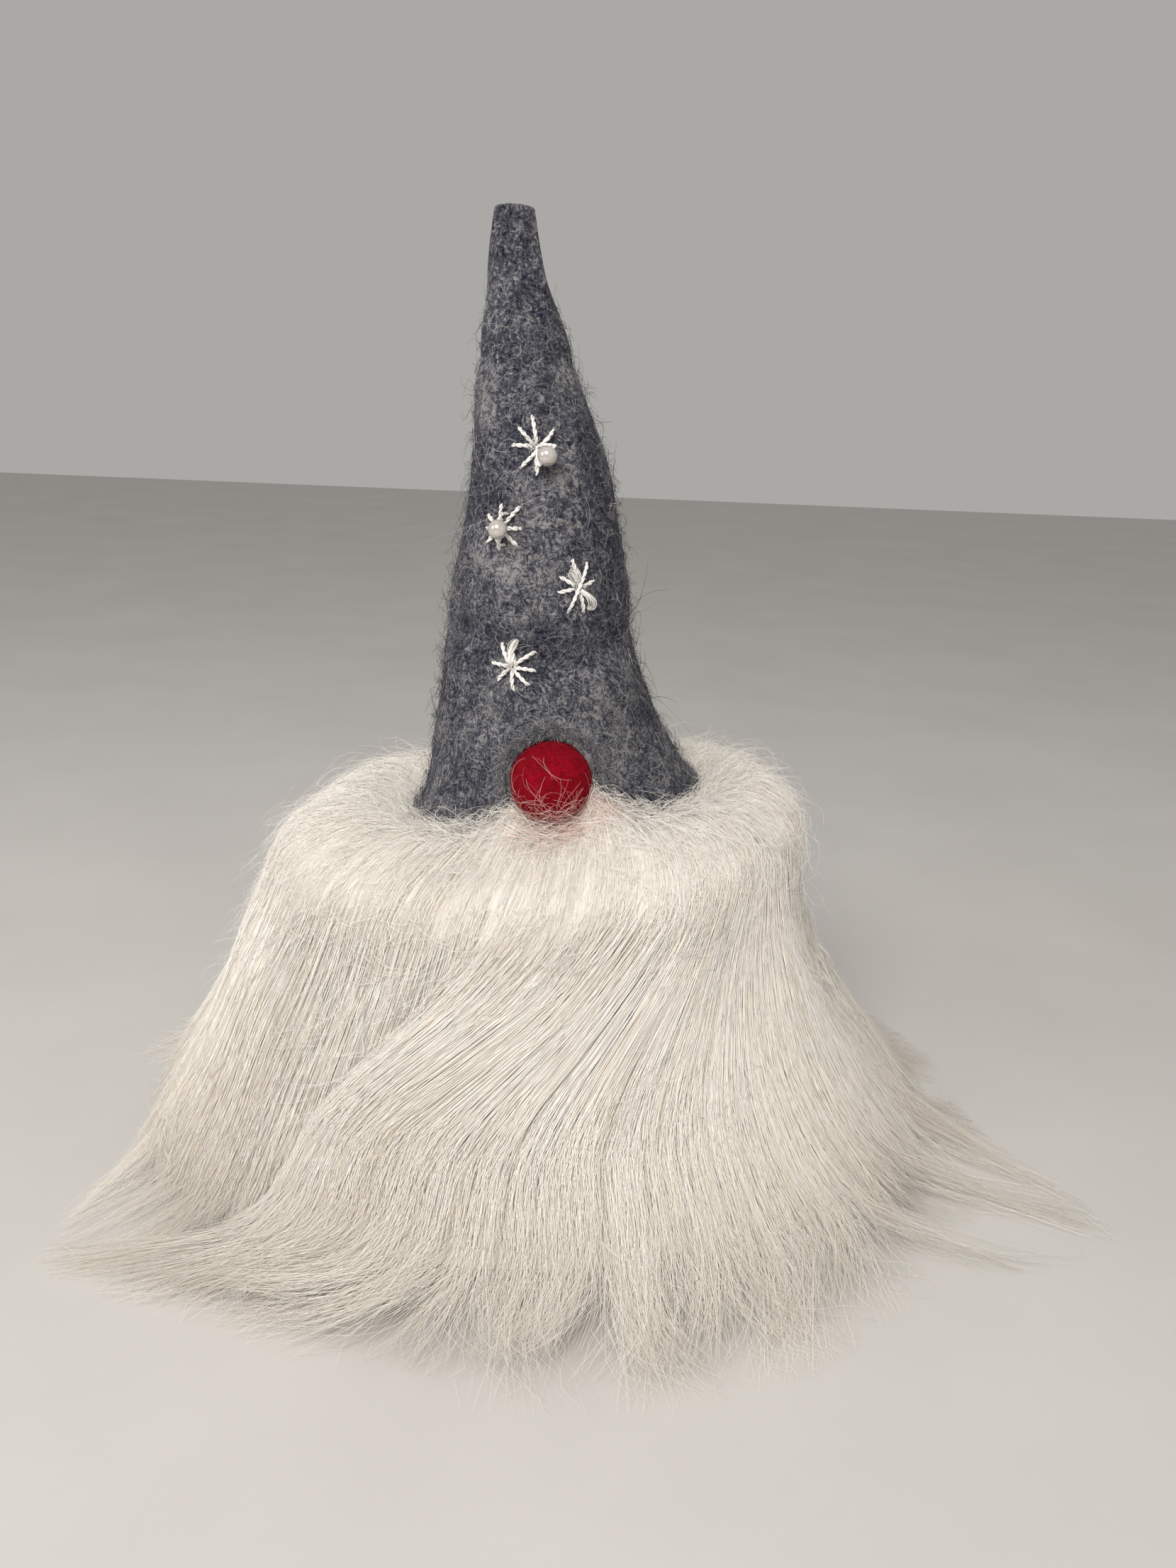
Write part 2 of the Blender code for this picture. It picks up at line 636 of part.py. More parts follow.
def star(index, share, sideways, twist):
    """Eight straight stitches over one small hub, with the thread's end knotted inside the hat."""
    name = f"star_{index}"
    spot = hat_spot(share, sideways)
    hub_at = in_frame(spot, 0, 0, HUB_LIFT)
    made = ball(name, STAR_HUB_R, FLOSS, at=hub_at, rings=6)
    tips = []
    for k in range(STAR_RAYS):
        turn = twist + math.tau * k / STAR_RAYS
        reach = STAR_RAY * (1.0 + 0.10 * math.cos(2.1 * k + index))
        lengths = np.linspace(0.0, reach, RAY_POINTS)
        points = [on_felt(spot, s * math.cos(turn), s * math.sin(turn), FLOSS_LIFT) for s in lengths]
        points[0] = in_frame(spot, 0, 0, FLOSS_LIFT + 0.5 * FLOSS_R)
        join(made, tube(f"{name}_ray_{k + 1}", points, FLOSS_R))
        tips.append(turn)
    anchor = tips[STAR_RAYS // 2]
    far = 0.8 * STAR_RAY
    outer_end = on_felt(spot, far * math.cos(anchor), far * math.sin(anchor), FLOSS_LIFT)
    inner_end = on_felt(spot, far * math.cos(anchor), far * math.sin(anchor), -HAT_FELT - GAP - STAR_KNOT_R)
    join(made, tube(f"{name}_stem", [outer_end, inner_end], FLOSS_R * 0.7))
    join(made, ball(f"{name}_knot", STAR_KNOT_R, at=inner_end, rings=5))
    cut(hat, tube(f"{name}_stem_room", [outer_end, inner_end], FLOSS_R * 0.7 + GAP))
    cut(hat_wadding, ball(f"{name}_knot_room", STAR_KNOT_R + 2 * GAP, at=inner_end, rings=6))
    return made, spot


stars = [star(i + 1, *where) for i, where in enumerate(STARS)]

# ---- pearls --------------------------------------------------------------------------------------------------
BORE_R = BEAD_THREAD_R + GAP
STITCH_TOP = HUB_LIFT + STAR_HUB_R
LOOP_LIFT = STITCH_TOP + GAP + BEAD_THREAD_R


def pearl(name, centre, axis):
    """A round bead with a bore along axis, its object's own Z."""
    half = PEARL_R * math.cos(math.asin(BORE_R / PEARL_R))
    tilt = math.degrees(math.asin(BORE_R / PEARL_R))
    profile = [(BORE_R, -half), *arc(0, 0, PEARL_R, PEARL_R, 90 - tilt, -90 + tilt, 9)]
    made = turned(name, profile, PEARL, at=centre, steps=20)
    made.rotation_mode = "QUATERNION"
    made.rotation_quaternion = Vector((0, 0, 1)).rotation_difference(axis)
    return made


def stem_below(name, spot, radius):
    """A thread's end through the hub's middle and the felt, with its knot, and the room for both."""
    top = in_frame(spot, 0, 0, LOOP_LIFT)
    bottom = in_frame(spot, 0, 0, -HAT_FELT - GAP - LOOP_KNOT_R)
    room = tube(f"{name}_stem_room", [in_frame(spot, 0, 0, 4 * STAR_HUB_R), bottom], radius + GAP)
    knot_room = ball(f"{name}_knot_room", LOOP_KNOT_R + 2 * GAP, at=bottom, rings=6)
    return top, bottom, room, knot_room


def hub_thread(name, star_index, points, closed):
    """A thread that stands on a star's hub: points outside, a stem through hub and felt, and a knot inside."""
    star_object, spot = stars[star_index]
    top, bottom, room, knot_room = stem_below(name, spot, BEAD_THREAD_R)
    made = tube(name, [top, *points], BEAD_THREAD_R, FLOSS, closed=closed, at=spot[2])
    join(made, tube(f"{name}_stem", [top, bottom], BEAD_THREAD_R))
    join(made, ball(f"{name}_top", 1.2 * BEAD_THREAD_R, at=top, rings=5))
    join(made, ball(f"{name}_knot", LOOP_KNOT_R, at=bottom, rings=5))
    cut(star_object, room)
    cut(hat, room)
    cut(hat_wadding, room, knot_room)
    return made


pearl_1_spot = stars[0][1]
pearl_2_spot = stars[1][1]
PEARL_1_LIFT = 2 * FLOSS_LIFT + 2 * GAP + PEARL_R
toward = Vector((math.cos(PEARL_1_DROP), math.sin(PEARL_1_DROP)))
across = Vector((-toward.y, toward.x))


def loop_point(out, side, lift):
    flat = out * toward + side * across
    return in_frame(pearl_1_spot, flat.x, flat.y, lift)


# (share of the reach, sideways share of the loop's half width, share of the rise to the pearl's bore)
LOOP_HALF = 1.2 * PEARL_R
LOOP_RUN = (
    (0.35, -0.62, 0.55),
    (0.80, -1.10, 1.0),
    (1.0, -1.0, 1.0),
    (1.0, 1.0, 1.0),
    (0.80, 1.10, 1.0),
    (0.35, 0.62, 0.55),
)
loop_points = []
for out, side, rise in LOOP_RUN:
    height = LOOP_LIFT + (PEARL_1_LIFT - LOOP_LIFT) * rise
    loop_points.append(loop_point(out * PEARL_1_REACH, side * LOOP_HALF, height))
hub_thread("pearl_1_loop", 0, loop_points, closed=True)
pearl_1_axis = (loop_points[3] - loop_points[2]).normalized()
pearl("pearl_1", (loop_points[2] + loop_points[3]) / 2, pearl_1_axis)

# The held pearl leans on its star's hub, so its middle is one hub and one pearl radius from the hub's.
PEARL_2_LIFT = HUB_LIFT + math.sqrt((STAR_HUB_R + PEARL_R + GAP) ** 2 - PEARL_2_ASIDE**2)


def over_pearl(along, lift):
    """A point of the thread that holds the pearl down, which runs up and down along the felt."""
    return in_frame(pearl_2_spot, PEARL_2_ASIDE, along, lift)


bend = PEARL_R + 3 * BEAD_THREAD_R
arch_points = [
    over_pearl(-bend, -0.6 * HAT_FELT),
    over_pearl(-bend, 0.7 * PEARL_2_LIFT),
    over_pearl(-PEARL_R - GAP, PEARL_2_LIFT),
    over_pearl(PEARL_R + GAP, PEARL_2_LIFT),
    over_pearl(bend, 0.7 * PEARL_2_LIFT),
    over_pearl(bend, -0.6 * HAT_FELT),
]
tube("pearl_2_thread", arch_points, BEAD_THREAD_R, FLOSS)
cut(hat, tube("pearl_2_thread_room", arch_points, BORE_R))
pearl("pearl_2", (arch_points[2] + arch_points[3]) / 2, (arch_points[3] - arch_points[2]).normalized())

# ---- threads left where two pearls came off ------------------------------------------------------------------
# (right, up, lift over the hub) along each loose end, from its star's middle
END_3 = (
    (0.0016, -0.0012, 0.0009),
    (0.0036, -0.0030, 0.0013),
    (0.0048, -0.0052, 0.0006),
    (0.0040, -0.0064, 0.0),
)
END_4 = (
    (-0.0006, 0.0018, 0.0008),
    (-0.0004, 0.0042, 0.0013),
    (0.0010, 0.0066, 0.0012),
    (0.0022, 0.0086, 0.0008),
)


def loose_points(star_index, run):
    spot = stars[star_index][1]
    return [in_frame(spot, u, v, LOOP_LIFT + n) for u, v, n in run]


hub_thread("loose_thread_3", 2, loose_points(2, END_3), closed=False)
hub_thread("loose_thread_4", 3, loose_points(3, END_4), closed=False)

bpy.context.view_layer.update()
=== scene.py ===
# %% [markdown]
# # Tomte gnome figurine
# A weighted cloth body wrapped in a long-haired pelt, a felted ball for a nose, and a tall felt hat pulled
# over the head. The solid frame is loaded first and never moved. What you see is made around it with numpy:
# hair, felt, stitches and beads are surfaces worked out as whole arrays of points.

# %% Load the frame
import json
import math

import bpy
import numpy as np
from mathutils import Matrix, Vector

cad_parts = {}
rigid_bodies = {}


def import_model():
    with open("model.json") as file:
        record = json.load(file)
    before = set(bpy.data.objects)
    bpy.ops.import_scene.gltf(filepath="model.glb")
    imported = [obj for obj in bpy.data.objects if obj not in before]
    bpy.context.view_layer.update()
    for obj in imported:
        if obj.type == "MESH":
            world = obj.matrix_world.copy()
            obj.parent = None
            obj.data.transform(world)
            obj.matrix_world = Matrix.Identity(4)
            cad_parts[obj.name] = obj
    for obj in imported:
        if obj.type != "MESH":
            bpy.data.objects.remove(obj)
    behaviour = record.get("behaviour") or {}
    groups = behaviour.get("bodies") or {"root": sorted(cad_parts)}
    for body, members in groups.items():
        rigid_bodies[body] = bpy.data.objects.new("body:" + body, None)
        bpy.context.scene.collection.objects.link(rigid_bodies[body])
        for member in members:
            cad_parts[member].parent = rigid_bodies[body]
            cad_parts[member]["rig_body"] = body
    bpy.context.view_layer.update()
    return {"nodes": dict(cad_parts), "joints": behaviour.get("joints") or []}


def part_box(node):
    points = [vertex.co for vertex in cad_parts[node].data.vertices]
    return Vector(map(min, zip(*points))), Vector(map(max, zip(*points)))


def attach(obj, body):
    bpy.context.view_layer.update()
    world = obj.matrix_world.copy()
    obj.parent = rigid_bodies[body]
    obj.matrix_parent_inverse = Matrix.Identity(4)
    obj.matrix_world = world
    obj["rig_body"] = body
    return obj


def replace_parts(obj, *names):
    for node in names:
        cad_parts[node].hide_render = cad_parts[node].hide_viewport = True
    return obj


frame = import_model()
dice = np.random.default_rng(20)
MM = 0.001


def middle_of(node):
    """The middle of a node's box, as an array."""
    low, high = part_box(node)
    return (np.array(low) + np.array(high)) / 2


# %% [markdown]
# ## Camera, floor and light
# A portrait camera stands a forearm away at chin height and looks down a little, with the slight roll of a
# hand-held shot. The floor is plain and pale. Large soft lights and a pale sky are used because hair looks
# right only when light reaches it from many sides.

# %% Camera
camera_at = (0.0, -0.400, 0.245)  # metres; the three directions below are the camera's own axes
camera_right = np.array([0.99911, -0.01214, 0.04048])
camera_down = np.array([0.03503, -0.29798, -0.95393])
camera_forward = np.array([0.02365, 0.95449, -0.29729])

lens = bpy.data.cameras.new("portrait_lens")
lens.lens = 28.21
lens.sensor_width = 36.0
lens.clip_start = 0.01
camera = bpy.data.objects.new("portrait_camera", lens)
turn = np.stack([camera_right, -camera_down, -camera_forward], axis=1)
camera.matrix_world = Matrix.Translation(camera_at) @ Matrix(turn.tolist()).to_4x4()
bpy.context.scene.collection.objects.link(camera)
bpy.context.scene.camera = camera

# %% Lights and sky
subject = Vector((0.0, 0.0, 0.12))


def soft_light(name, place, size, watts, colour):
    """A square area light at place that faces the figure."""
    lamp = bpy.data.lights.new(name, "AREA")
    lamp.size = size
    lamp.energy = watts
    lamp.color = colour
    light = bpy.data.objects.new(name, lamp)
    light.location = place
    light.rotation_euler = (subject - Vector(place)).to_track_quat("-Z", "Y").to_euler()
    bpy.context.scene.collection.objects.link(light)


soft_light("overhead", (-0.25, -0.95, 1.00), 0.6, 16.0, (1.0, 0.95, 0.88))
soft_light("left_window", (-1.1, -0.6, 0.70), 0.7, 3.2, (0.97, 0.97, 1.0))
soft_light("right_fill", (1.0, -0.85, 0.50), 0.8, 0.6, (1.0, 0.93, 0.84))
sky = bpy.data.worlds.new("pale_room")
sky.use_nodes = True
sky.node_tree.nodes["Background"].inputs["Color"].default_value = (0.97, 0.94, 0.90, 1.0)
sky.node_tree.nodes["Background"].inputs["Strength"].default_value = 0.42
bpy.context.scene.world = sky
bpy.context.scene.view_settings.view_transform = "Standard"


# %% [markdown]
# ## Finishes
# A finish is a small tree of nodes: noise for mottling, stretched noise for fibres, a ramp that turns the
# noise into colours, and a bump from the same noise. One helper class keeps each tree to a few lines.

# %% Node helper
class Finish:
    """A material under construction; each method adds one node and returns its output."""

    def __init__(self, name, roughness, sheen=0.0, specular=0.3):
        self.material = bpy.data.materials.new(name)
        self.material.use_nodes = True
        self.tree = self.material.node_tree
        self.shader = self.tree.nodes["Principled BSDF"]
        self.shader.inputs["Roughness"].default_value = roughness
        self.shader.inputs["Sheen Weight"].default_value = sheen
        self.shader.inputs["Sheen Roughness"].default_value = 0.5
        self.shader.inputs["Specular IOR Level"].default_value = specular

    def strand(self):
        """A strand's own coordinates, from its UV map: X is its tone and Y runs from root to tip."""
        uv = self.add("ShaderNodeTexCoord").outputs["UV"]
        return self.add("ShaderNodeSeparateXYZ", Vector=uv).outputs

    def add(self, kind, **links):
        """A node of a kind; links are its inputs by name, each a value or another node's output."""
        node = self.tree.nodes.new(kind)
        for name, value in links.items():
            self.feed(node.inputs[name.replace("_", " ")], value)
        return node

    def feed(self, socket, value):
        """Links another node's output to a socket, or sets the socket's own value."""
        if isinstance(value, bpy.types.NodeSocket):
            self.tree.links.new(value, socket)
        else:
            socket.default_value = value

    def place(self, stretch=(1, 1, 1)):
        """Coordinates of the piece, scaled along each axis."""
        coords = self.add("ShaderNodeTexCoord").outputs["Object"]
        return self.add("ShaderNodeMapping", Vector=coords, Scale=stretch).outputs["Vector"]

    def noise(self, scale, detail=3.0, roughness=0.55, stretch=(1, 1, 1), distortion=0.0):
        """Cloudy noise between 0 and 1; a stretch under 1 draws it out into fibres along that axis."""
        at = self.place(stretch)
        node = self.add("ShaderNodeTexNoise", Vector=at, Scale=scale, Detail=detail, Roughness=roughness)
        node.inputs["Distortion"].default_value = distortion
        return node.outputs["Fac"]

    def ramp(self, factor, *stops):
        """Colours at positions: each stop is (position, colour)."""
        node = self.add("ShaderNodeValToRGB", Fac=factor)
        ramp = node.color_ramp
        while len(ramp.elements) < len(stops):
            ramp.elements.new(0.5)
        for element, (position, colour) in zip(ramp.elements, stops):
            element.position = position
            element.color = (*colour, 1.0)
        return node.outputs["Color"]

    def multiplied(self, first, second):
        """Two colours multiplied."""
        node = self.tree.nodes.new("ShaderNodeMix")
        node.data_type = "RGBA"
        node.blend_type = "MULTIPLY"
        for socket, value in ((node.inputs[0], 1.0), (node.inputs[6], first), (node.inputs[7], second)):
            self.feed(socket, value)
        return node.outputs[2]

    def maths(self, kind, first, second):
        """One sum or product of two values."""
        node = self.tree.nodes.new("ShaderNodeMath")
        node.operation = kind
        self.feed(node.inputs[0], first)
        self.feed(node.inputs[1], second)
        return node.outputs[0]

    def blend(self, first, second, share):
        """Two patterns added, the first by a share and the second by the rest."""
        first, second = self.maths("MULTIPLY", first, share), self.maths("MULTIPLY", second, 1 - share)
        return self.maths("ADD", first, second)

    def colour(self, value):
        """The base colour."""
        self.feed(self.shader.inputs["Base Color"], value)

    def bump(self, height, strength, distance):
        """Fine relief from a pattern, distance in metres."""
        node = self.add("ShaderNodeBump", Height=height, Strength=strength, Distance=distance)
        self.feed(self.shader.inputs["Normal"], node.outputs["Normal"])


def two_tone(name, pattern, dark, light, relief=None, **shine):
    """A material led by one noise: a ramp between two (position, colour) stops, and a bump from that noise."""
    made = Finish(name, **shine)
    noise = made.noise(**pattern)
    made.colour(made.ramp(noise, dark, light))
    if relief:
        made.bump(noise, *relief)
    return made.material


# %% Floor
FLOOR_HALF = 3.0
FLOOR_DROP = 0.0002
pale_floor = two_tone(
    "pale_floor", {"scale": 9.0, "detail": 4.0}, (0.3, (0.56, 0.55, 0.54)), (0.7, (0.60, 0.59, 0.58)),
    roughness=0.55, specular=0.25,
)
floor_mesh = bpy.data.meshes.new("floor")
corners = [(x * FLOOR_HALF, y * FLOOR_HALF, 0) for x, y in ((-1, -1), (1, -1), (1, 1), (-1, 1))]
floor_mesh.from_pydata(corners, [], [(0, 1, 2, 3)])
floor_mesh.materials.append(pale_floor)
floor = bpy.data.objects.new("floor", floor_mesh)
floor.location.z = -FLOOR_DROP
bpy.context.scene.collection.objects.link(floor)
print("floor and lights are in place")


# %% [markdown]
# ## Surfaces from arrays
# Two helpers make every new piece. One joins a grid of points into a smooth skin. The other carries a small
# three- to eight-sided ring along many paths at once, which is how hair, fuzz and threads are made.

# %% Skins
def into_scene(name, mesh, finish, body):
    """An object of a mesh, shaded smooth, in its finish and riding on a body."""
    mesh.materials.append(finish)
    mesh.shade_smooth()
    made = bpy.data.objects.new(name, mesh)
    bpy.context.scene.collection.objects.link(made)
    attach(made, body)
    return made


def new_piece(name, rings, faces, finish, body):
    """A piece from an array of points and a list of faces."""
    mesh = bpy.data.meshes.new(name)
    mesh.from_pydata(rings.reshape(-1, 3), [], faces)
    return into_scene(name, mesh, finish, body)


def grid_faces(rows, around):
    """Quads that join rows of closed rings; column j is joined to j + 1, and the last column to the first."""
    i, j = np.meshgrid(np.arange(rows - 1), np.arange(around), indexing="ij")
    k = (j + 1) % around
    quads = np.stack([i * around + j, i * around + k, (i + 1) * around + k, (i + 1) * around + j], axis=-1)
    return quads.reshape(-1, 4)


def capped_faces(rows, around):
    """Grid faces with one flat face over the first ring and one over the last."""
    caps = [tuple(reversed(range(around))), tuple(range((rows - 1) * around, rows * around))]
    return grid_faces(rows, around).tolist() + caps


def joined_faces(rows, around):
    """Grid faces with the last ring joined back to the first, as on a ring-shaped skin."""
    j = np.arange(around)
    k = (j + 1) % around
    last = (rows - 1) * around
    return np.concatenate([grid_faces(rows, around), np.stack([last + j, last + k, k, j], axis=-1)])


def ring_turn(around):
    """Angles of the points of a ring."""
    return np.arange(around) * math.tau / around


def round_points(r, t, z):
    """Points at radius r, angle t and height z, as far as their shapes broadcast."""
    return np.stack(np.broadcast_arrays(r * np.cos(t), r * np.sin(t), z), axis=-1)


# %% Tubes along many paths
TONES = 24


def unit(v):
    """Vectors scaled to length one."""
    return v / np.maximum(np.linalg.norm(v, axis=-1, keepdims=True), 1e-12)


def tube_points(paths, widths, sides):
    """Rings of a tube round each path: point + width * (cos t * side + sin t * up), where side and up are
    carried along the path so that they stay square to it and never twist."""
    along = unit(np.gradient(paths, axis=1))
    side = np.zeros_like(paths)
    start = np.where(np.abs(along[:, 0, 2:3]) < 0.9, [[0.0, 0.0, 1.0]], [[1.0, 0.0, 0.0]])
    side[:, 0] = unit(np.cross(along[:, 0], start))
    for k in range(1, paths.shape[1]):
        carried = side[:, k - 1]
        side[:, k] = unit(carried - (carried * along[:, k]).sum(-1, keepdims=True) * along[:, k])
    up = np.cross(along, side)
    t = ring_turn(sides)
    ring = np.cos(t)[:, None] * side[:, :, None] + np.sin(t)[:, None] * up[:, :, None]
    return paths[:, :, None] + widths[:, :, None, None] * ring


def strands(name, paths, widths, finish, body, sides=3, tone=None):
    """One mesh of many closed tapering tubes. The UV map holds each strand's tone across and root to tip up."""
    count, stations = paths.shape[:2]
    rings = tube_points(paths, widths, sides).reshape(-1, 3)
    first = (np.arange(count) * stations * sides)[:, None, None]
    quads = (first + grid_faces(stations, sides)).reshape(-1, 4)
    ends = np.stack([np.arange(sides)[::-1], (stations - 1) * sides + np.arange(sides)])
    ends = (first + ends).reshape(-1, sides)
    mesh = bpy.data.meshes.new(name)
    loops = np.concatenate([quads.ravel(), ends.ravel()])
    sizes = np.concatenate([np.full(len(quads), 4), np.full(len(ends), sides)])
    mesh.vertices.add(len(rings))
    mesh.vertices.foreach_set("co", rings.astype(np.float32).ravel())
    mesh.loops.add(len(loops))
    mesh.loops.foreach_set("vertex_index", loops.astype(np.int32))
    mesh.polygons.add(len(sizes))
    mesh.polygons.foreach_set("loop_start", (np.cumsum(sizes) - sizes).astype(np.int32))
    mesh.update(calc_edges=True)
    tone = dice.integers(0, TONES, count) if tone is None else tone
    v = np.broadcast_to(np.linspace(0.02, 0.98, stations)[None, :, None], (count, stations, sides))
    u = (tone[:, None, None] + (np.arange(sides)[None, None] + 0.5) / (sides + 1)) / TONES
    u = np.broadcast_to(u, v.shape)
    uv = np.stack([u, v], -1).reshape(-1, 2)[loops]
    mesh.uv_layers.new(name="OFBake").data.foreach_set("uv", uv.astype(np.float32).ravel())
    return into_scene(name, mesh, finish, body)


def smooth(x, low=0.0, high=1.0):
    """Eases from 0 at low to 1 at high."""
    x = np.clip((x - low) / (high - low), 0, 1)
    return x * x * (3 - 2 * x)


def bell(x, wide):
    """A soft hump: 1 at x = 0, fading out over wide."""
    return np.exp(-((x / wide) ** 2))


def apart(angle, other):
    """Signed difference of two angles, the short way round."""
    return np.angle(np.exp(1j * (angle - other)))


def through(stations, at):
    """A smooth curve through (position, value) stations: cubic pieces with the slope of their neighbours."""
    xs, ys = np.array(stations, float).T
    slopes = np.gradient(ys, xs)
    at = np.clip(np.asarray(at, float), xs[0], xs[-1])
    i = np.clip(np.searchsorted(xs, at, side="right") - 1, 0, len(xs) - 2)
    span = xs[i + 1] - xs[i]
    u = (at - xs[i]) / span
    rise = (1 + 2 * u) * (1 - u) ** 2 * ys[i] + u * u * (3 - 2 * u) * ys[i + 1]
    return rise + span * (u * (1 - u) ** 2 * slopes[i] - u * u * (1 - u) * slopes[i + 1])


# %% [markdown]
# ## The hat's felt
# The real hat is one piece of thick heathered wool felt, rolled to a cone, sewn up the back, stuffed in the
# middle and pulled over the head. The skin is a function of the angle round the hat and the height: a width
# and a sideways lean that change with height, a brim that turns out, a bulge over the nose, and soft dents.

# %% Hat measures
hat_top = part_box("hat_shell")[1].z
nose_at = middle_of("nose_ball")
nose_r = (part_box("nose_ball")[1].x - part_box("nose_ball")[0].x) / 2
HAT_TALL, HAT_HALF, HAT_FELT = 0.183, 0.042, 0.003
BRIM_Z = hat_top - HAT_TALL
BRIM_FLARE, BRIM_FLARE_FRONT, FLARE_RISE = 0.007, 0.003, 0.009
NOSE_PUSH, NOSE_PUSH_WIDE = 0.0075, 0.0125
FRONT, BACK = -math.pi / 2, math.pi / 2
# (share of the height, lean and width there, both as shares of the hat's half width)
HAT_SECTIONS = np.array([
    (-0.06, 0, 1.02), (0.055, -0.03, 0.975), (0.18, -0.125, 0.832), (0.30, -0.188, 0.715),
    (0.393, -0.200, 0.672), (0.475, -0.190, 0.600), (0.634, -0.260, 0.474), (0.77, -0.357, 0.338),
    (0.88, -0.419, 0.219), (1.0, -0.460, 0.133),
])


def hat_lean(z):
    """Sideways shift of the hat's middle at a height."""
    return HAT_HALF * through(HAT_SECTIONS[:, [0, 1]], (z - BRIM_Z) / HAT_TALL)


def hat_half(z):
    """Half width of the hat at a height."""
    return HAT_HALF * through(HAT_SECTIONS[:, [0, 2]], (z - BRIM_Z) / HAT_TALL)


def brim_edge(angle):
    """Height of the brim's edge: tilted, a little wavy, and lifted on both sides of the nose."""
    lift = 0.016 * bell(apart(angle, FRONT), 0.45)
    return BRIM_Z + 0.0065 * np.cos(angle) - 0.0015 * np.cos(2 * angle) + lift


def dents(angle, z):
    """How far the felt swells or sinks: slow waves, a crease where the stuffing ends over the brow with a
    swelling under it, and a pinch under the empty tip. It fades to nothing along the seam at the back."""
    front = smooth(-np.sin(angle), -0.2, 0.6)
    crease_z = BRIM_Z + 0.302 * HAT_TALL + 0.003 * np.sin(2.2 * angle)
    slow = 0.0005 * np.sin(3 * angle + z / 0.011) * np.sin(z / 0.017 + 1.3)
    slow = slow + 0.00035 * np.sin(7 * angle - z / 0.006 + 2)
    crease = -0.0017 * bell(z - crease_z, 0.0035) + 0.0013 * bell(z - crease_z + 0.011, 0.0065)
    pinch = -0.0008 * bell(z - BRIM_Z - 0.755 * HAT_TALL, 0.004)
    return (slow + front * crease + pinch) * (1 - bell(apart(angle, BACK), 0.22))


def felt_point(angle, z, inside=0.0):
    """Centre line + (width + flare - inside) along the direction of the angle, pushed out over the nose."""
    flare = np.exp(-np.maximum(z - brim_edge(angle), 0.0) / FLARE_RISE)
    width = hat_half(z) + dents(angle, z) - inside
    x = hat_lean(z) + (width + BRIM_FLARE * flare) * np.cos(angle)
    y = (width + BRIM_FLARE_FRONT * flare) * np.sin(angle)
    push = NOSE_PUSH * bell(np.hypot(x - nose_at[0], z - nose_at[2] - 0.25 * nose_r), NOSE_PUSH_WIDE)
    return np.stack(np.broadcast_arrays(x, y - smooth(-np.sin(angle), -0.1, 0.3) * push, z), axis=-1)


def felt_frame(angle, z):
    """Point of the felt with its level direction, its upward direction and its outward normal."""
    step = 1e-4
    level = unit(felt_point(angle + step, z) - felt_point(angle - step, z))
    rise = unit(felt_point(angle, z + step) - felt_point(angle, z - step))
    out = unit(np.cross(level, rise))
    return felt_point(angle, z), level, np.cross(out, level), out


# %% Felt finish
def felt_finish(name, dark, middle, light, rough=0.95, sheen=0.04, clump=330.0):
    """Felt: mottled patches, small curly clumps, fibres that cross each other, and a soft bump."""
    wool = Finish(name, rough, sheen=sheen, specular=0.06)
    patches = wool.noise(48.0, 3.0, 0.6)
    clumps = wool.noise(clump, 3.0, 0.75, distortion=2.2)
    flecks = wool.noise(760.0, 4.0, 0.7, stretch=(1.0, 1.0, 0.30), distortion=1.4)
    cross = wool.noise(980.0, 4.0, 0.7, stretch=(0.35, 0.35, 1.0), distortion=1.6)
    both = wool.blend(wool.blend(flecks, cross, 0.5), wool.blend(clumps, patches, 0.62), 0.42)
    wool.colour(wool.ramp(both, (0.42, dark), (0.50, middle), (0.575, light)))
    wool.bump(both, 0.6, 0.0014)
    return wool.material


hat_wool = felt_finish("heathered_felt", (0.008, 0.009, 0.018), (0.062, 0.065, 0.085), (0.265, 0.258, 0.262))

# %% Hat skin
HAT_AROUND, HAT_ROWS = 160, 110
TIP_ROUND, TIP_DIP, EDGE_ROUND = 0.0015, 0.0007, 0.0009


def hat_rings(inside, top):
    """Rings from the brim's edge to the tip, each a constant share of the way up at its own angle."""
    share = np.linspace(0, 1, HAT_ROWS)[:, None] ** 1.15
    edge = brim_edge(ring_turn(HAT_AROUND))[None]
    z = edge + (top - edge) * share
    return felt_point(np.broadcast_to(ring_turn(HAT_AROUND), z.shape), z, inside)


def hat_skin():
    """The inner rings from their lid down, the rounded edge of the brim, the outer rings and a rounded tip."""
    outer = hat_rings(0.0, hat_top - TIP_ROUND)
    inner = hat_rings(HAT_FELT, hat_top - HAT_FELT)
    tip, inner_tip = outer[-1].mean(axis=0), inner[-1].mean(axis=0)
    close = np.linspace(0.93, 0.0, 6)[:, None, None]
    lid = tip + (outer[-1] - tip) * close
    close = close[..., 0]
    lid[..., 2] = outer[-1, :, 2] + TIP_ROUND * np.sqrt(1 - close**2) - TIP_DIP * (close < 0.6)
    inner_lid = inner_tip + (inner[-1] - inner_tip) * np.linspace(0, 0.8, 3)[:, None, None]
    edge = (outer[0] + inner[0]) / 2 - [0, 0, EDGE_ROUND]
    return np.concatenate([inner_lid, inner[::-1], edge[None], outer, lid])


rings = hat_skin()
hat = new_piece("hat_felt", rings, grid_faces(len(rings), HAT_AROUND).tolist(), hat_wool, "hat")
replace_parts(hat, "hat_shell")
print("hat skin:", rings.shape)

# %% [markdown]
# ## Fuzz on the felt
# Felt is made of loose fibres, so its outline is never clean. Short curled fibres are scattered over the
# skin, most of them lying almost flat, some standing off, and more of them along the brim's cut edge.

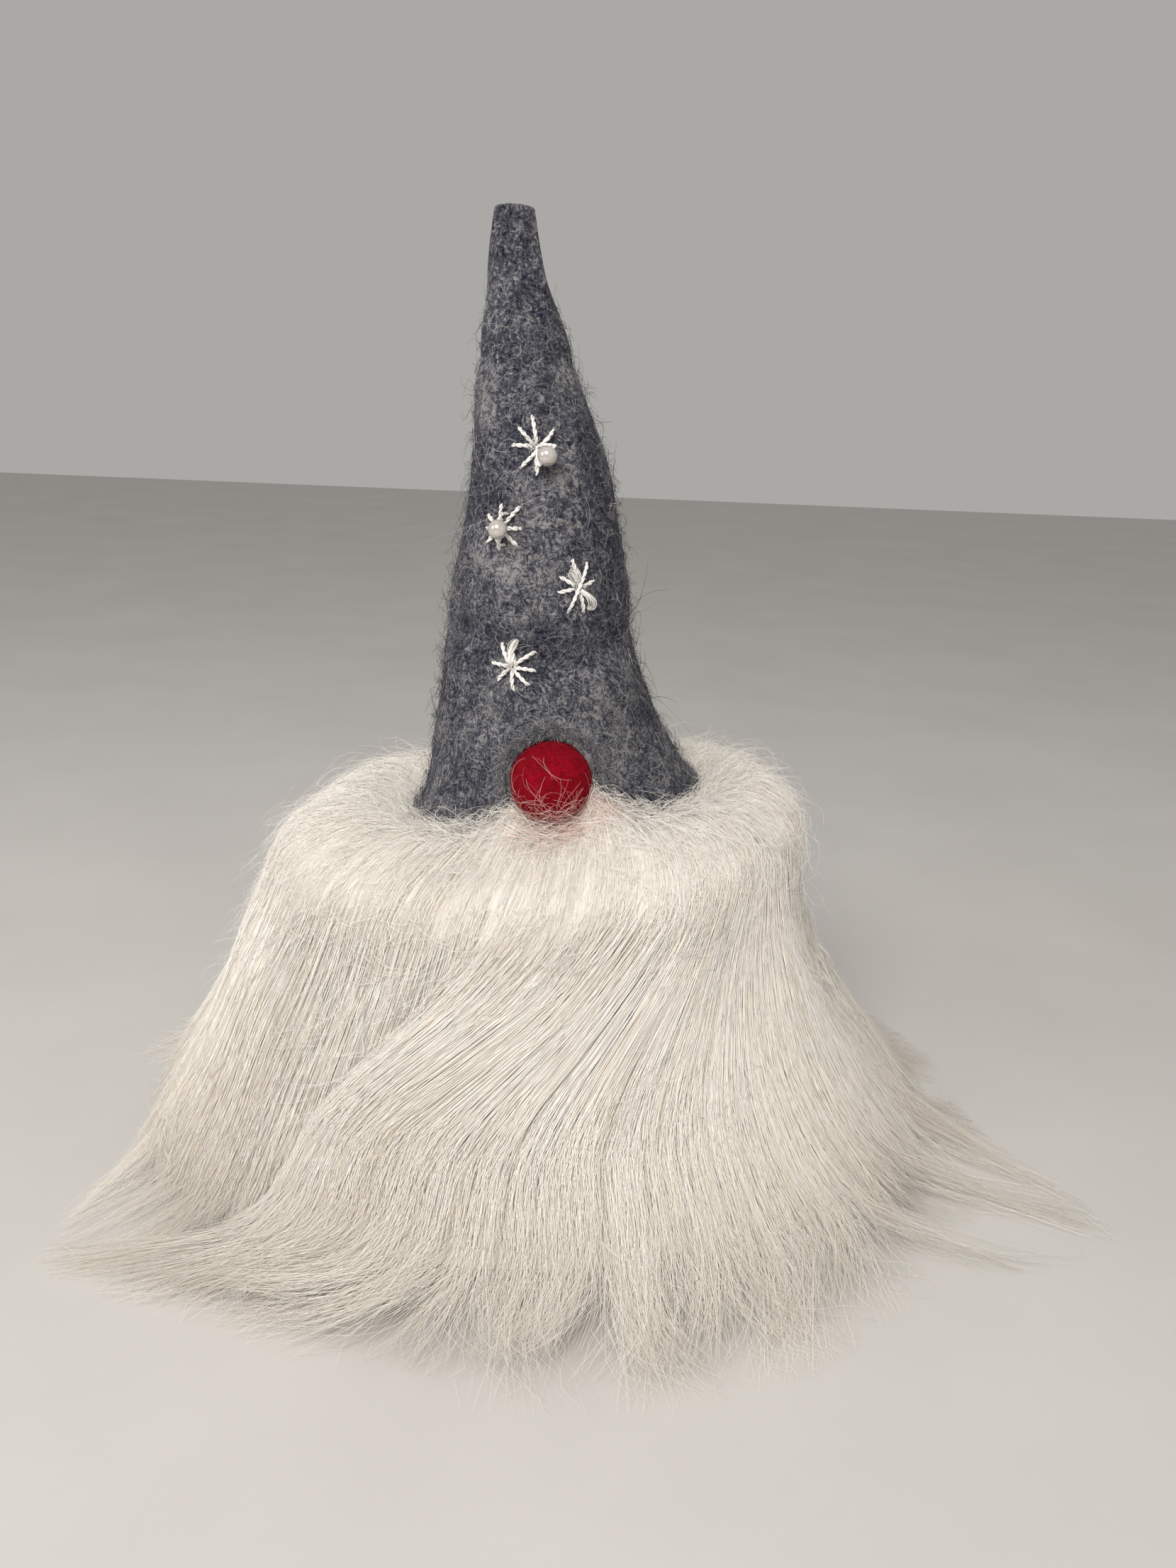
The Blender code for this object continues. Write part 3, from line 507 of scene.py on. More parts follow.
# %% Curled fibres
def curled(root, directions, lengths, curls, lifts, stations, heading=None):
    """Arcs lying on a surface, from roots and the surface's level, rising and outward directions there. Length,
    curl and lift are drawn at random: heading + curl * s turns as the arc runs, and lift * s raises it."""
    n = len(root)
    s = np.linspace(0, 1, stations)[None]
    length = dice.uniform(*lengths, (n, 1))
    heading = dice.uniform(0, math.tau, n) if heading is None else heading
    turning = heading[:, None] + dice.normal(0, curls, (n, 1)) * s
    lift = dice.uniform(*lifts, (n, 1))
    step = length / (stations - 1)
    x = np.cumsum(np.cos(turning) * step, axis=1) - np.cos(turning[:, :1]) * step
    y = np.cumsum(np.sin(turning) * step, axis=1) - np.sin(turning[:, :1]) * step
    off = lift * length * s * (1.25 - 0.5 * s)
    return root[:, None] + sum(run[..., None] * way[:, None] for run, way in zip((x, y, off), directions))


def tapered(count, stations, thick, thin=0.35):
    """Half widths that narrow towards the tip, each strand a little different."""
    s = np.linspace(0, 1, stations)[None]
    own = dice.uniform(0.75, 1.25, (count, 1))
    return thick * own * (1 - (1 - thin) * s**2)


def fuzz_finish(name, *tones):
    """Strand colours picked by tone across the UV map."""
    hair = Finish(name, 0.7, specular=0.2)
    stops = [(i / (len(tones) - 1), tone) for i, tone in enumerate(tones)]
    hair.colour(hair.ramp(hair.strand()["X"], *stops))
    return hair.material


hat_fuzz = fuzz_finish(
    "felt_fibres", (0.015, 0.017, 0.028), (0.05, 0.055, 0.075), (0.12, 0.125, 0.15), (0.24, 0.24, 0.26),
    (0.46, 0.45, 0.45),
)


def hat_roots(count, high):
    """Random places on the felt up to a share of its height: more where it is wide, and none in the arch."""
    angle = dice.uniform(0, math.tau, count)
    share = high * (1 - np.sqrt(1 - dice.uniform(0, 0.98, count)))
    edge = brim_edge(angle)
    z = edge + (hat_top - TIP_ROUND - edge) * share
    dx = felt_point(angle, z)[:, 0] - nose_at[0]
    clear = nose_r + 0.0008
    under_arch = z - nose_at[2] < np.sqrt(np.maximum(clear**2 - dx**2, 0))
    in_arch = (np.sin(angle) < 0) & (np.abs(dx) < clear) & under_arch
    return angle[~in_arch], z[~in_arch]


def hat_fuzz_piece(name, count, thick, lengths, lifts, curls, stations, high=1.0):
    """Fibres scattered over the felt, mostly up and down, rooted just under its skin."""
    angle, z = hat_roots(count, high)
    root, level, rise, out = felt_frame(angle, z)
    n = len(angle)
    heading = dice.normal(math.pi / 2, 0.9, n) + math.pi * dice.integers(0, 2, n)
    paths = curled(root - 0.0002 * out, (level, rise, out), lengths, curls, lifts, stations, heading)
    strands(name, paths, tapered(n, stations, thick), hat_fuzz, "hat")


hat_fuzz_piece("felt_fuzz_flat", 4300, 0.00008, (0.003, 0.008), (0.02, 0.14), 3.5, 4)
hat_fuzz_piece("felt_fuzz_raised", 3600, 0.00007, (0.004, 0.011), (0.15, 0.55), 5.0, 5)
hat_fuzz_piece("felt_fuzz_long", 46, 0.00007, (0.018, 0.042), (0.03, 0.16), 2.2, 16)
hat_fuzz_piece("felt_fuzz_brim", 2400, 0.00007, (0.002, 0.007), (0.1, 0.6), 4.0, 4, high=0.02)
print("felt fuzz is on")

# %% [markdown]
# ## The arch over the nose
# The felt is cut away round the nose and its raw edge stands up as a paler, hairy lip. The opening is a
# Boolean cut with a long capsule, and the lip is a soft bead carried along the cut.

# %% Opening in the felt
arch_r = nose_r + 0.0004
ARCH_LONG = 0.05
SLOPE_STEP = 1e-4


def capsule_points(radius, long, around=40, rings=14):
    """A half ball of radius * (cos e, sin e) rings over a straight tube that runs down for a long way."""
    e = np.linspace(math.pi / 2 - 0.02, 0, rings)
    r = np.concatenate([radius * np.cos(e), [radius]])
    h = np.concatenate([radius * np.sin(e), [-long]])
    return round_points(r[:, None], ring_turn(around), h[:, None])


def cut_with_capsule(piece):
    """Takes the capsule round the nose out of a piece with an exact Boolean, whose result becomes its mesh."""
    rings = capsule_points(arch_r, ARCH_LONG) + nose_at
    mesh = bpy.data.meshes.new("arch_cutter")
    faces = [tuple(reversed(face)) for face in capped_faces(*rings.shape[:2])]
    mesh.from_pydata(rings.reshape(-1, 3), [], faces)
    cutter = bpy.data.objects.new("arch_cutter", mesh)
    bpy.context.scene.collection.objects.link(cutter)
    step = piece.modifiers.new("arch", "BOOLEAN")
    step.operation = "DIFFERENCE"
    step.solver = "EXACT"
    step.object = cutter
    bpy.context.view_layer.update()
    done = bpy.data.meshes.new_from_object(piece.evaluated_get(bpy.context.evaluated_depsgraph_get()))
    piece.modifiers.clear()
    before = len(piece.data.vertices)
    piece.data = done
    bpy.data.objects.remove(cutter)
    done.shade_smooth()
    print("arch cut:", before, "->", len(done.vertices), "points")


cut_with_capsule(hat)

# %% Raw lip along the cut
LIP_R = arch_r + 0.0007
LIP_HALF = 0.0009
LIP_FIBRES = 1800
lip_turn = np.linspace(math.radians(-28), math.radians(208), 46)
lip_x = nose_at[0] + LIP_R * np.cos(lip_turn)
lip_z = nose_at[2] + LIP_R * np.sin(lip_turn)


def front_angle(x, z):
    """Angle on the front of the felt whose point has this x: eight rounds of correction by the slope."""
    angle = np.full_like(x, FRONT)
    for _ in range(8):
        here = felt_point(angle, z)[:, 0]
        slope = (felt_point(angle + SLOPE_STEP, z)[:, 0] - here) / SLOPE_STEP
        angle = np.clip(angle + (x - here) / np.maximum(slope, 0.005), -math.pi, 0)
    return angle


lip_angle = front_angle(lip_x, lip_z)
above = lip_z > brim_edge(lip_angle) - 0.0005
lip_root, lip_level, lip_rise, lip_out = (each[above] for each in felt_frame(lip_angle, lip_z))
place = np.arange(len(lip_root))
lip_wide = LIP_HALF * (1 + 0.18 * np.sin(1.7 * place)) * smooth(np.minimum(place, place[::-1]), -1, 4)
lip_felt = felt_finish("raw_felt_edge", (0.060, 0.065, 0.085), (0.200, 0.205, 0.225), (0.420, 0.420, 0.430))
lip_path = lip_root - 0.0004 * lip_out
strands("felt_lip", lip_path[None], np.maximum(lip_wide, 0.0002)[None], lip_felt, "hat", sides=10)

pick = dice.uniform(0, len(lip_path) - 1, LIP_FIBRES)
before = np.floor(pick).astype(int)
after = np.minimum(before + 1, len(lip_path) - 1)
mixed = (pick - before)[:, None]
root, level, rise, out = (
    each[before] * (1 - mixed) + each[after] * mixed for each in (lip_root, lip_level, lip_rise, lip_out)
)
outward = unit(root * [1, 0, 1] - nose_at * [1, 0, 1])
root = root + outward * dice.uniform(-0.0008, 0.0022, LIP_FIBRES)[:, None]
root = root + out * dice.uniform(0.0002, 0.0008, (LIP_FIBRES, 1))
heading = np.arctan2((outward * rise).sum(-1), (outward * level).sum(-1)) + dice.normal(0, 0.8, LIP_FIBRES)
paths = curled(root, (level, rise, out), (0.0020, 0.0055), 3.0, (0.05, 0.7), 5, heading)
widths = tapered(LIP_FIBRES, 5, 0.00009)
lip_tones = dice.integers(8, TONES, LIP_FIBRES)
strands("felt_lip_fuzz", paths, widths, hat_fuzz, "hat", tone=lip_tones)

# %% [markdown]
# ## The nose
# A ball of crimson wool, poked with a barbed needle until it is firm. Its skin is a ball with small dimples,
# and matted fibres wander over it.

# %% Nose ball
NOSE_AROUND, NOSE_ROWS, NOSE_FIBRES = 96, 60, 1800
NOSE_SKIN = 0.985
e = np.linspace(-math.pi / 2 + 0.02, math.pi / 2 - 0.02, NOSE_ROWS)[:, None]
way = round_points(np.cos(e), ring_turn(NOSE_AROUND), np.sin(e))
x, y, z = way[..., 0], way[..., 1], way[..., 2]
dimple = 0.010 * np.sin(9 * x + 5 * z) * np.sin(8 * y - 4 * z + 1)
dimple = dimple + 0.006 * np.sin(21 * x - 3) * np.sin(19 * z + 17 * y)
nose_points = nose_at + (nose_r * (NOSE_SKIN + dimple))[..., None] * way
nose_felt = felt_finish(
    "crimson_felt", (0.140, 0.001, 0.004), (0.215, 0.0012, 0.009), (0.290, 0.003, 0.016),
    rough=0.9, sheen=0.0, clump=150.0,
)
nose = new_piece("nose_felt", nose_points, capped_faces(NOSE_ROWS, NOSE_AROUND), nose_felt, "body")
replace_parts(nose, "nose_ball")

# %% Red fibres on it
red_fuzz = fuzz_finish(
    "crimson_fibres", (0.18, 0.001, 0.007), (0.25, 0.002, 0.012), (0.32, 0.003, 0.018), (0.40, 0.010, 0.03)
)


def onto_ball(paths, radius):
    """Paths moved straight in or out until each point is its radius from the nose's middle."""
    return nose_at + unit(paths - nose_at) * radius


way = unit(dice.normal(size=(NOSE_FIBRES, 3)))
level = unit(np.cross(way, [0.0, 0.0, 1.0]))
directions = (level, np.cross(way, level), way)
paths = curled(nose_at + nose_r * NOSE_SKIN * way, directions, (0.002, 0.006), 2.5, (0.02, 0.22), 5)
lift = 0.10 * dice.uniform(0, 1, (NOSE_FIBRES, 1, 1)) ** 3 * np.linspace(0, 1, 5)[None, :, None]
paths = onto_ball(paths, nose_r * (0.99 + lift))
strands("nose_fuzz", paths, tapered(NOSE_FIBRES, 5, 0.00005), red_fuzz, "body")

# %% [markdown]
# Some of the pelt's finest hairs have worked loose and curl over the lower half of the nose. They are rooted
# on the ball and drawn to a thin shell over it, so that none of them floats away from it or sinks in.

# %% Pale hairs that curl over the nose
pale_hair = fuzz_finish("pale_curls", (0.75, 0.25, 0.25), (0.86, 0.48, 0.44), (0.93, 0.76, 0.70))
PALE_THICK = 0.000035


def nose_curls(name, count, high, lengths, curls, stations):
    """Hairs rooted on the lower front of the ball up to high degrees, drawn to a thin shell over it."""
    turn = dice.normal(FRONT, 0.62, count)
    up = np.radians(dice.uniform(-78, high, count))
    way = round_points(np.cos(up), turn, np.sin(up))
    level = unit(np.cross(way, [0.0, 0.0, 1.0]))
    directions = (level, np.cross(level, way), way)
    paths = curled(nose_at + nose_r * way, directions, lengths, curls, (0.0, 0.2), stations)
    rise = np.sin(np.linspace(0, 2.6, stations))[None, :, None]
    shell = 1.01 + 0.13 * dice.uniform(0, 1, (count, 1, 1)) ** 2 * rise
    paths = onto_ball(paths, nose_r * shell)
    strands(name, paths, tapered(count, stations, PALE_THICK, 0.6), pale_hair, "body")


nose_curls("nose_curls", 150, -12, (0.008, 0.018), 3.4, 12)
nose_curls("nose_hairs", 18, 30, (0.014, 0.026), 1.6, 16)
print("nose is done")

# %% [markdown]
# ## Stars and pearls
# Each star is eight straight stitches of white floss that cross at a hub. A stitch is two plies twisted
# round each other: it comes up out of the felt, lies across it and goes down again.

# %% Floss
FLOSS_HALF = 0.00060
FLOSS_PITCH = 0.0042
PLY_WIDE, PLY_APART = 0.62, 0.55  # a ply's half width and its distance from the middle, in thread half widths


def on_felt(angle, z, u, v, lift):
    """Points u along and v up the felt from a place on it, lift above it."""
    point, _, _, out = felt_frame(angle + u / hat_half(z), z + v)
    return point + np.asarray(lift)[..., None] * out


def plies(path, half, pitch, count=2, phase=0.0):
    """Paths of the plies of a thread: point + half * (cos, sin)(turns) across it."""
    along = unit(np.gradient(path, axis=0))
    side = unit(np.cross(along, [0.13, -0.97, 0.21]))
    up = np.cross(along, side)
    run = np.concatenate([[0], np.cumsum(np.linalg.norm(np.diff(path, axis=0), axis=1))])
    turns = phase + math.tau * run / pitch
    around = [turns + k * math.tau / count for k in range(count)]
    return np.stack([path + half * (np.cos(a)[:, None] * side + np.sin(a)[:, None] * up) for a in around])


floss = two_tone(
    "white_floss", {"scale": 1500.0, "detail": 3.0, "roughness": 0.6, "stretch": (1, 1, 0.4)},
    (0.35, (0.72, 0.70, 0.68)), (0.65, (0.90, 0.89, 0.87)), (0.4, 0.0003),
    roughness=0.55, sheen=0.2, specular=0.3,
)


def threads(name, paths, width, body, replaced=None, sides=8):
    """Floss plies as one piece in the white finish, standing for a plain thread of the frame."""
    made = strands(name, paths, np.broadcast_to(width, paths.shape[:2]), floss, body, sides=sides)
    if replaced:
        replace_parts(made, replaced)


def star_middle(node):
    """The angle and height of the place on the felt under a star's middle, from its box."""
    x, _, z = middle_of(node)
    return front_angle(np.array([x]), np.array([z]))[0], z


def stitch(angle, z, start, end, arch, stations=16):
    """A straight stitch on the felt between two (u, v) points: it sinks into the felt at both ends."""
    s = np.linspace(0, 1, stations)
    u = start[0] + (end[0] - start[0]) * s
    v = start[1] + (end[1] - start[1]) * s
    lift = arch * np.sin(math.pi * np.clip(s * 1.04 - 0.02, 0, 1)) ** 0.35 - 0.0004
    return on_felt(angle, z + 0 * s, u, v, lift)


# %% Stars
# Each star: its stitches as (start, end, arch) in millimetres to the right of and above its middle.
STAR_STITCHES = {
    "star_1": [
        ((0.2, 0.8), (0.0, 9.0), 1.0), ((-0.4, 0.4), (-4.7, 5.5), 1.0), ((-0.8, 0.2), (-7.1, 0.4), 1.0),
        ((-0.3, -0.8), (-0.4, -8.0), 0.8), ((1.2, 0.4), (4.9, 3.4), 0.8), ((0.6, -0.4), (5.2, -3.4), 0.7),
        ((0.8, 0.1), (5.6, 0.3), 0.7), ((-5.1, -6.3), (6.7, 5.5), 1.7),
    ],
    "star_2": [
        ((0.2, 0.6), (0.2, 6.9), 1.0), ((0.6, 0.6), (6.1, 6.5), 1.0), ((0.8, 0.0), (6.8, 0.3), 1.0),
        ((0.6, -0.6), (5.6, -4.8), 1.0), ((0.0, -0.8), (-0.3, -6.4), 0.9), ((-0.6, -0.6), (-4.7, -4.8), 0.9),
        ((-0.8, 0.0), (-5.6, -0.6), 0.9), ((-0.6, 0.5), (-5.0, 3.7), 1.0),
    ],
    "star_3": [
        ((-0.3, 1.0), (-1.9, 8.8), 1.0), ((-0.7, 0.5), (-5.7, 3.5), 1.0), ((-0.9, -0.1), (-6.3, -1.1), 1.0),
        ((0.8, 0.3), (5.3, 2.3), 1.0), ((0.5, -0.7), (1.5, -7.3), 0.9), ((0.7, -0.5), (4.4, -4.6), 1.1),
        ((-3.5, -7.1), (3.5, 8.0), 1.8),
    ],
    "star_4": [
        ((-0.6, 0.6), (-3.9, 6.6), 1.1), ((-0.8, 0.1), (-6.4, 0.8), 1.3), ((-0.6, -0.5), (-4.5, -4.4), 1.1),
        ((0.4, -0.7), (0.5, -7.0), 1.1), ((0.7, -0.5), (5.0, -4.8), 1.1), ((0.9, 0.0), (7.2, -0.5), 1.1),
        ((0.7, 0.6), (7.5, 4.8), 1.1), ((0.2, 0.4), (-0.9, 4.9), 1.5), ((0.9, 0.9), (0.2, 5.4), 1.5),
    ],
}


def star_piece(name):
    """All stitches of one star as twisted plies that are thickest half way along."""
    angle, z = star_middle(name)
    paths = []
    for number, (start, end, arch) in enumerate(STAR_STITCHES[name]):
        bent = stitch(angle, z, np.array(start) * MM, np.array(end) * MM, (arch + 0.15) * MM)
        paths.append(plies(bent, PLY_APART * FLOSS_HALF, FLOSS_PITCH, phase=1.3 * number))
    paths = np.concatenate(paths)
    s = np.linspace(0, 1, paths.shape[1])[None]
    own = dice.uniform(0.92, 1.08, (len(paths), 1))
    width = PLY_WIDE * FLOSS_HALF * (0.80 + 0.20 * np.sin(math.pi * s) ** 0.5) * own
    threads(name + "_floss", paths, width, "hat", replaced=name)


for star_name in STAR_STITCHES:
    star_piece(star_name)

# %% Frayed ends
FRAY_STATIONS = 14


def frayed(name, star, spreads, count, thick, replaced, route):
    """A loose end: fibres that run together along a route and fan apart by the spread at each point. A point
    of the route is its place to the right of and above the star's middle and its height, all in millimetres."""
    angle, z = star_middle(star)
    knots = np.linspace(0, 1, len(route))
    s = np.linspace(0, 1, FRAY_STATIONS)
    u, v, lift, fan = (through(np.stack([knots, np.array(row) * MM], 1), s) for row in (*zip(*route), spreads))
    run = unit(np.stack([np.gradient(u), np.gradient(v)], 1))
    shift = dice.normal(0, 0.42, (count, 1)) * fan
    drop = dice.normal(0, 0.16, (count, 1)) * fan
    uu = u - shift * run[:, 1]
    vv = v + shift * run[:, 0]
    paths = np.stack([on_felt(angle, z + 0 * a, a, b, lift + c) for a, b, c in zip(uu, vv, drop)])
    threads(name, paths, tapered(count, FRAY_STATIONS, thick, 0.5), "hat", replaced, sides=4)


frayed(
    "loose_end_4", "star_4", [0.7, 0.8, 1.7, 1.1, 0.2], 20, 0.00013, "loose_thread_4",
    [(0.0, 0.6, 1.0), (-0.2, 3.2, 1.9), (0.1, 5.6, 1.6), (1.0, 7.6, 1.1), (2.2, 9.0, 0.4)],
)
frayed(
    "loose_end_3", "star_3", [0.6, 0.9, 1.8, 1.5, 0.8], 24, 0.00013, "loose_thread_3",
    [(0.4, -0.4, 1.3), (2.2, -2.0, 2.0), (3.9, -4.0, 1.8), (4.2, -5.6, 1.0), (2.6, -5.9, 0.5)],
)
frayed(
    "loose_fluff_3", "star_3", [1.4, 2.0, 2.2, 1.4], 26, 0.00010, None,
    [(-0.2, 1.0, 0.9), (-0.8, 3.2, 1.3), (-2.2, 5.0, 0.9), (-3.0, 5.4, 0.5)],
)

# %% [markdown]
# ## Pearls
# The beads are round glass with a milky, slightly pink coat. A true ball with a bore catches the lights as
# small hard highlights. The loose one hangs in a loop of thread. The other is held down by an arch of thread.

# %% Beads
PEARL_R, PEARL_BORE_R = 0.0030, 0.0006
PEARL_ROWS, PEARL_AROUND = 36, 48
pearl_coat = Finish("pearl_coat", 0.14, specular=0.7)
milk = pearl_coat.noise(260.0, 3.0)
milky = ((0.3, (0.50, 0.43, 0.41)), (0.55, (0.60, 0.56, 0.53)), (0.75, (0.55, 0.54, 0.57)))
pearl_coat.colour(pearl_coat.ramp(milk, *milky))
for socket, value in (("Coat Weight", 0.8), ("Coat Roughness", 0.06), ("Metallic", 0.35)):
    pearl_coat.shader.inputs[socket].default_value = value
pearl_coat.bump(milk, 0.05, 0.0003)


def joint_axis(name):
    """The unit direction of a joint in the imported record."""
    axis = next(joint["axis"] for joint in frame["joints"] if joint["name"] == name)
    return unit(np.array(axis, float))


def bead(name, node, axis):
    """A ball with a bore: rings of radius * (cos e, sin e) from one end of the bore to the other, then back
    through the bore."""
    tilt = math.asin(PEARL_BORE_R / PEARL_R)
    e = np.linspace(-math.pi / 2 + tilt, math.pi / 2 - tilt, PEARL_ROWS)
    r = np.concatenate([PEARL_R * np.cos(e), [0.8 * PEARL_BORE_R, 0.8 * PEARL_BORE_R]])
    h = np.concatenate([PEARL_R * np.sin(e), [0.93 * PEARL_R, -0.93 * PEARL_R]])
    t = ring_turn(PEARL_AROUND)
    side = unit(np.cross(axis, [0.3, 0.2, 0.93]))
    up = np.cross(axis, side)
    ring = np.cos(t)[None, :, None] * side + np.sin(t)[None, :, None] * up
    rings = middle_of(node) + h[:, None, None] * axis + r[:, None, None] * ring
    faces = joined_faces(len(r), PEARL_AROUND).tolist()
    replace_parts(new_piece(name, rings, faces, pearl_coat.material, node), node)


bead("bead_1", "pearl_1", joint_axis("pearl_1_turn"))
bead("bead_2", "pearl_2", joint_axis("pearl_2_turn"))

# %% Bead threads
BEAD_THREAD = 0.00042
LOOP_LIFT = 0.0020


def bead_thread(name, points, body, replaced):
    """A thread on a smooth path through points, as two twisted plies."""
    points = np.array(points)
    knots = np.concatenate([[0], np.cumsum(np.linalg.norm(np.diff(points, axis=0), axis=1))])
    s = np.linspace(0, knots[-1], 40)
    path = np.stack([through(np.stack([knots, points[:, k]], 1), s) for k in range(3)], axis=1)
    threads(name, plies(path, 0.5 * BEAD_THREAD, 0.0030), PLY_WIDE * BEAD_THREAD, body, replaced)


def hub_of(star):
    """The felt's point and its outward direction under a star's middle."""
    point, _, _, out = felt_frame(*(np.array(value) for value in star_middle(star)))
    return point, out


hub_1, out_1 = hub_of("star_1")
pearl_1_at, axis_1 = middle_of("pearl_1"), joint_axis("pearl_1_turn")
hub_top = hub_1 + LOOP_LIFT * out_1
half_way = 0.45 * hub_top + 0.55 * pearl_1_at + 0.0008 * out_1
loop_route = [hub_top, half_way - 0.85 * PEARL_R * axis_1]
loop_route += [pearl_1_at + along * PEARL_R * axis_1 for along in (-1.2, -1.0, 0.0, 1.0, 1.2)]
loop_route += [half_way + 0.85 * PEARL_R * axis_1, hub_top]
bead_thread("bead_1_loop", loop_route, "pearl_1_loop", "pearl_1_loop")

# The held bead's thread leaves the felt, runs through the bead and goes back: (along the bore, up), in mm.
ARCH = ((-4.6, -5.5), (-4.4, -1.8), (-3.2, 0.0), (0.0, 0.0), (3.2, 0.0), (4.4, -1.8), (4.6, -5.5))
pearl_2_at, axis_2, out_2 = middle_of("pearl_2"), joint_axis("pearl_2_turn"), hub_of("star_2")[1]
arch_route = [pearl_2_at + along * MM * axis_2 + up * MM * out_2 for along, up in ARCH]
bead_thread("bead_2_thread", arch_route, "hat", "pearl_2_thread")

# %% Knots and fluff at the hubs
HUB_FIBRES = 26
for number, star_name in enumerate(STAR_STITCHES):
    angle, z = star_middle(star_name)
    off = dice.normal(0, 0.0008, (HUB_FIBRES, 2))
    root = on_felt(angle, z + np.zeros(HUB_FIBRES), off[:, 0], off[:, 1], 0.0008)
    _, level, rise, out = felt_frame(np.full(HUB_FIBRES, angle), np.full(HUB_FIBRES, z))
    paths = curled(root, (level, rise, out), (0.0015, 0.0042), 3.0, (0.05, 0.4), 6)
    threads(f"star_fluff_{number + 1}", paths, tapered(HUB_FIBRES, 6, 0.00007), "hat", sides=3)
print("stars and pearls are done")

# %% [markdown]
# ## Under the hat
# When the hat lifts off, the stuffed cotton head shows: a round crown gathered into a neck, tied with
# twine, and a little flared tuft of cloth over the tie.

# %% Cloth head
cotton = Finish("cotton_cloth", 0.9, sheen=0.3, specular=0.15)
warp = cotton.add("ShaderNodeTexWave", Vector=cotton.place(), Scale=900.0, Distortion=1.5)
warp.bands_direction = "Z"
weft = cotton.noise(1400.0, 2.0, 0.6, stretch=(1, 1, 0.2))
weave = cotton.blend(warp.outputs["Fac"], weft, 0.5)
cotton.colour(cotton.ramp(weave, (0.3, (0.60, 0.55, 0.46)), (0.7, (0.76, 0.71, 0.62))))
cotton.bump(weave, 0.4, 0.0004)

SACK_AROUND, SACK_ROWS = 180, 110
SACK_TOP_R = 0.0259  # the sack where the pelt ends
NECK_R = 0.0030
PLEATS = 17
sack_low, sack_high = (corner.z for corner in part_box("body_sack"))
neck_z = middle_of("neck_tie")[2]
foot_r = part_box("body_sack")[1].x
side_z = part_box("pelt_backing")[1].z
# (share of the way from the foot up the cone, over the crown, into the neck and up the tuft; radius; height)
SACK = np.array([
    (0.00, foot_r - 0.004, sack_low), (0.03, foot_r - 0.0004, sack_low + 0.004),
    (0.45, SACK_TOP_R + 0.012, 0.062 + sack_low), (0.64, SACK_TOP_R + 0.0002, side_z - 0.004),
    (0.70, SACK_TOP_R - 0.0022, side_z + 0.008), (0.76, SACK_TOP_R - 0.0082, side_z + 0.0165),
    (0.82, 0.0095, neck_z - 0.0035), (0.86, 0.0060, neck_z - 0.0005), (0.90, 0.0062, neck_z + 0.0022),
    (0.96, 0.0092, neck_z + 0.0075), (1.00, 0.0104, sack_high - 0.0004),
])
t = ring_turn(SACK_AROUND)
share = np.linspace(0, 1, SACK_ROWS)[:, None]
r, z = through(SACK[:, [0, 1]], share), through(SACK[:, [0, 2]], share)
gathered = bell(z - neck_z, 0.012)
pleats = 0.0011 * gathered * (np.sin(PLEATS * t + 0.8) + 0.6 * np.sin(29 * t)) - 0.0008 * gathered
outer = round_points(r + pleats, t, z + 0.0006 * gathered * np.sin(9 * t))
inner_z = np.linspace(sack_high - 0.0006, neck_z + 0.001, 8)[:, None]
inner_r = NECK_R + (0.0092 - NECK_R) * (inner_z - neck_z) / (sack_high - neck_z)
inner_r = inner_r + 0.0004 * np.sin(PLEATS * t + 0.8)
inner = round_points(inner_r, t, inner_z)
rings = np.concatenate([round_points(0.3 * foot_r, t, sack_low)[None], outer, inner])
sack = new_piece("cloth_head", rings, capped_faces(len(rings), SACK_AROUND), cotton.material, "body")
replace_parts(sack, "body_sack")

# %% Twine round the neck
WRAPS, WRAP_R, TWINE_PLY = 3, 0.0078, 0.00045
twine = two_tone(
    "twine", {"scale": 1200.0, "detail": 3.0, "roughness": 0.6}, (0.3, (0.28, 0.19, 0.10)),
    (0.7, (0.52, 0.40, 0.25)), (0.5, 0.0004), roughness=0.85, sheen=0.2, specular=0.2,
)
turns = np.linspace(0, WRAPS * math.tau, 150)
wrap_z = neck_z + 0.0017 * (turns / turns[-1] - 0.5) * 2
wrap = plies(round_points(WRAP_R + 0.0003 * np.sin(turns * 1.3), turns, wrap_z), 0.0004, 0.0035, count=3)
tie = strands("neck_twine", wrap, np.full(wrap.shape[:2], TWINE_PLY), twine, "body", sides=6)
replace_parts(tie, "neck_tie")
print("cloth head and tie are done")

# %% [markdown]
# ## Plain pieces that stay
# The base, the wadding, the leather and the hidden threads keep the frame's shapes. Each gets its own finish.

# %% Finishes for the frame's pieces
wadding = two_tone(
    "polyester_wadding", {"scale": 420.0, "detail": 5.0, "roughness": 0.7, "distortion": 2.0},
    (0.35, (0.68, 0.68, 0.67)), (0.65, (0.88, 0.88, 0.87)), (0.7, 0.002),
    roughness=0.95, sheen=0.3, specular=0.1,
)
board = two_tone(
    "grey_board", {"scale": 700.0, "detail": 5.0, "roughness": 0.7, "stretch": (1, 0.3, 1)},
    (0.35, (0.27, 0.25, 0.22)), (0.65, (0.42, 0.39, 0.35)), (0.25, 0.0003), roughness=0.85, specular=0.2,
)
hide = two_tone(
    "pelt_leather", {"scale": 520.0, "detail": 4.0, "roughness": 0.6}, (0.3, (0.46, 0.36, 0.26)),
    (0.7, (0.68, 0.58, 0.45)), (0.3, 0.0005), roughness=0.7, sheen=0.15, specular=0.25,
)
base_wool = felt_finish("white_base_felt", (0.50, 0.48, 0.44), (0.66, 0.63, 0.58), (0.80, 0.77, 0.72))
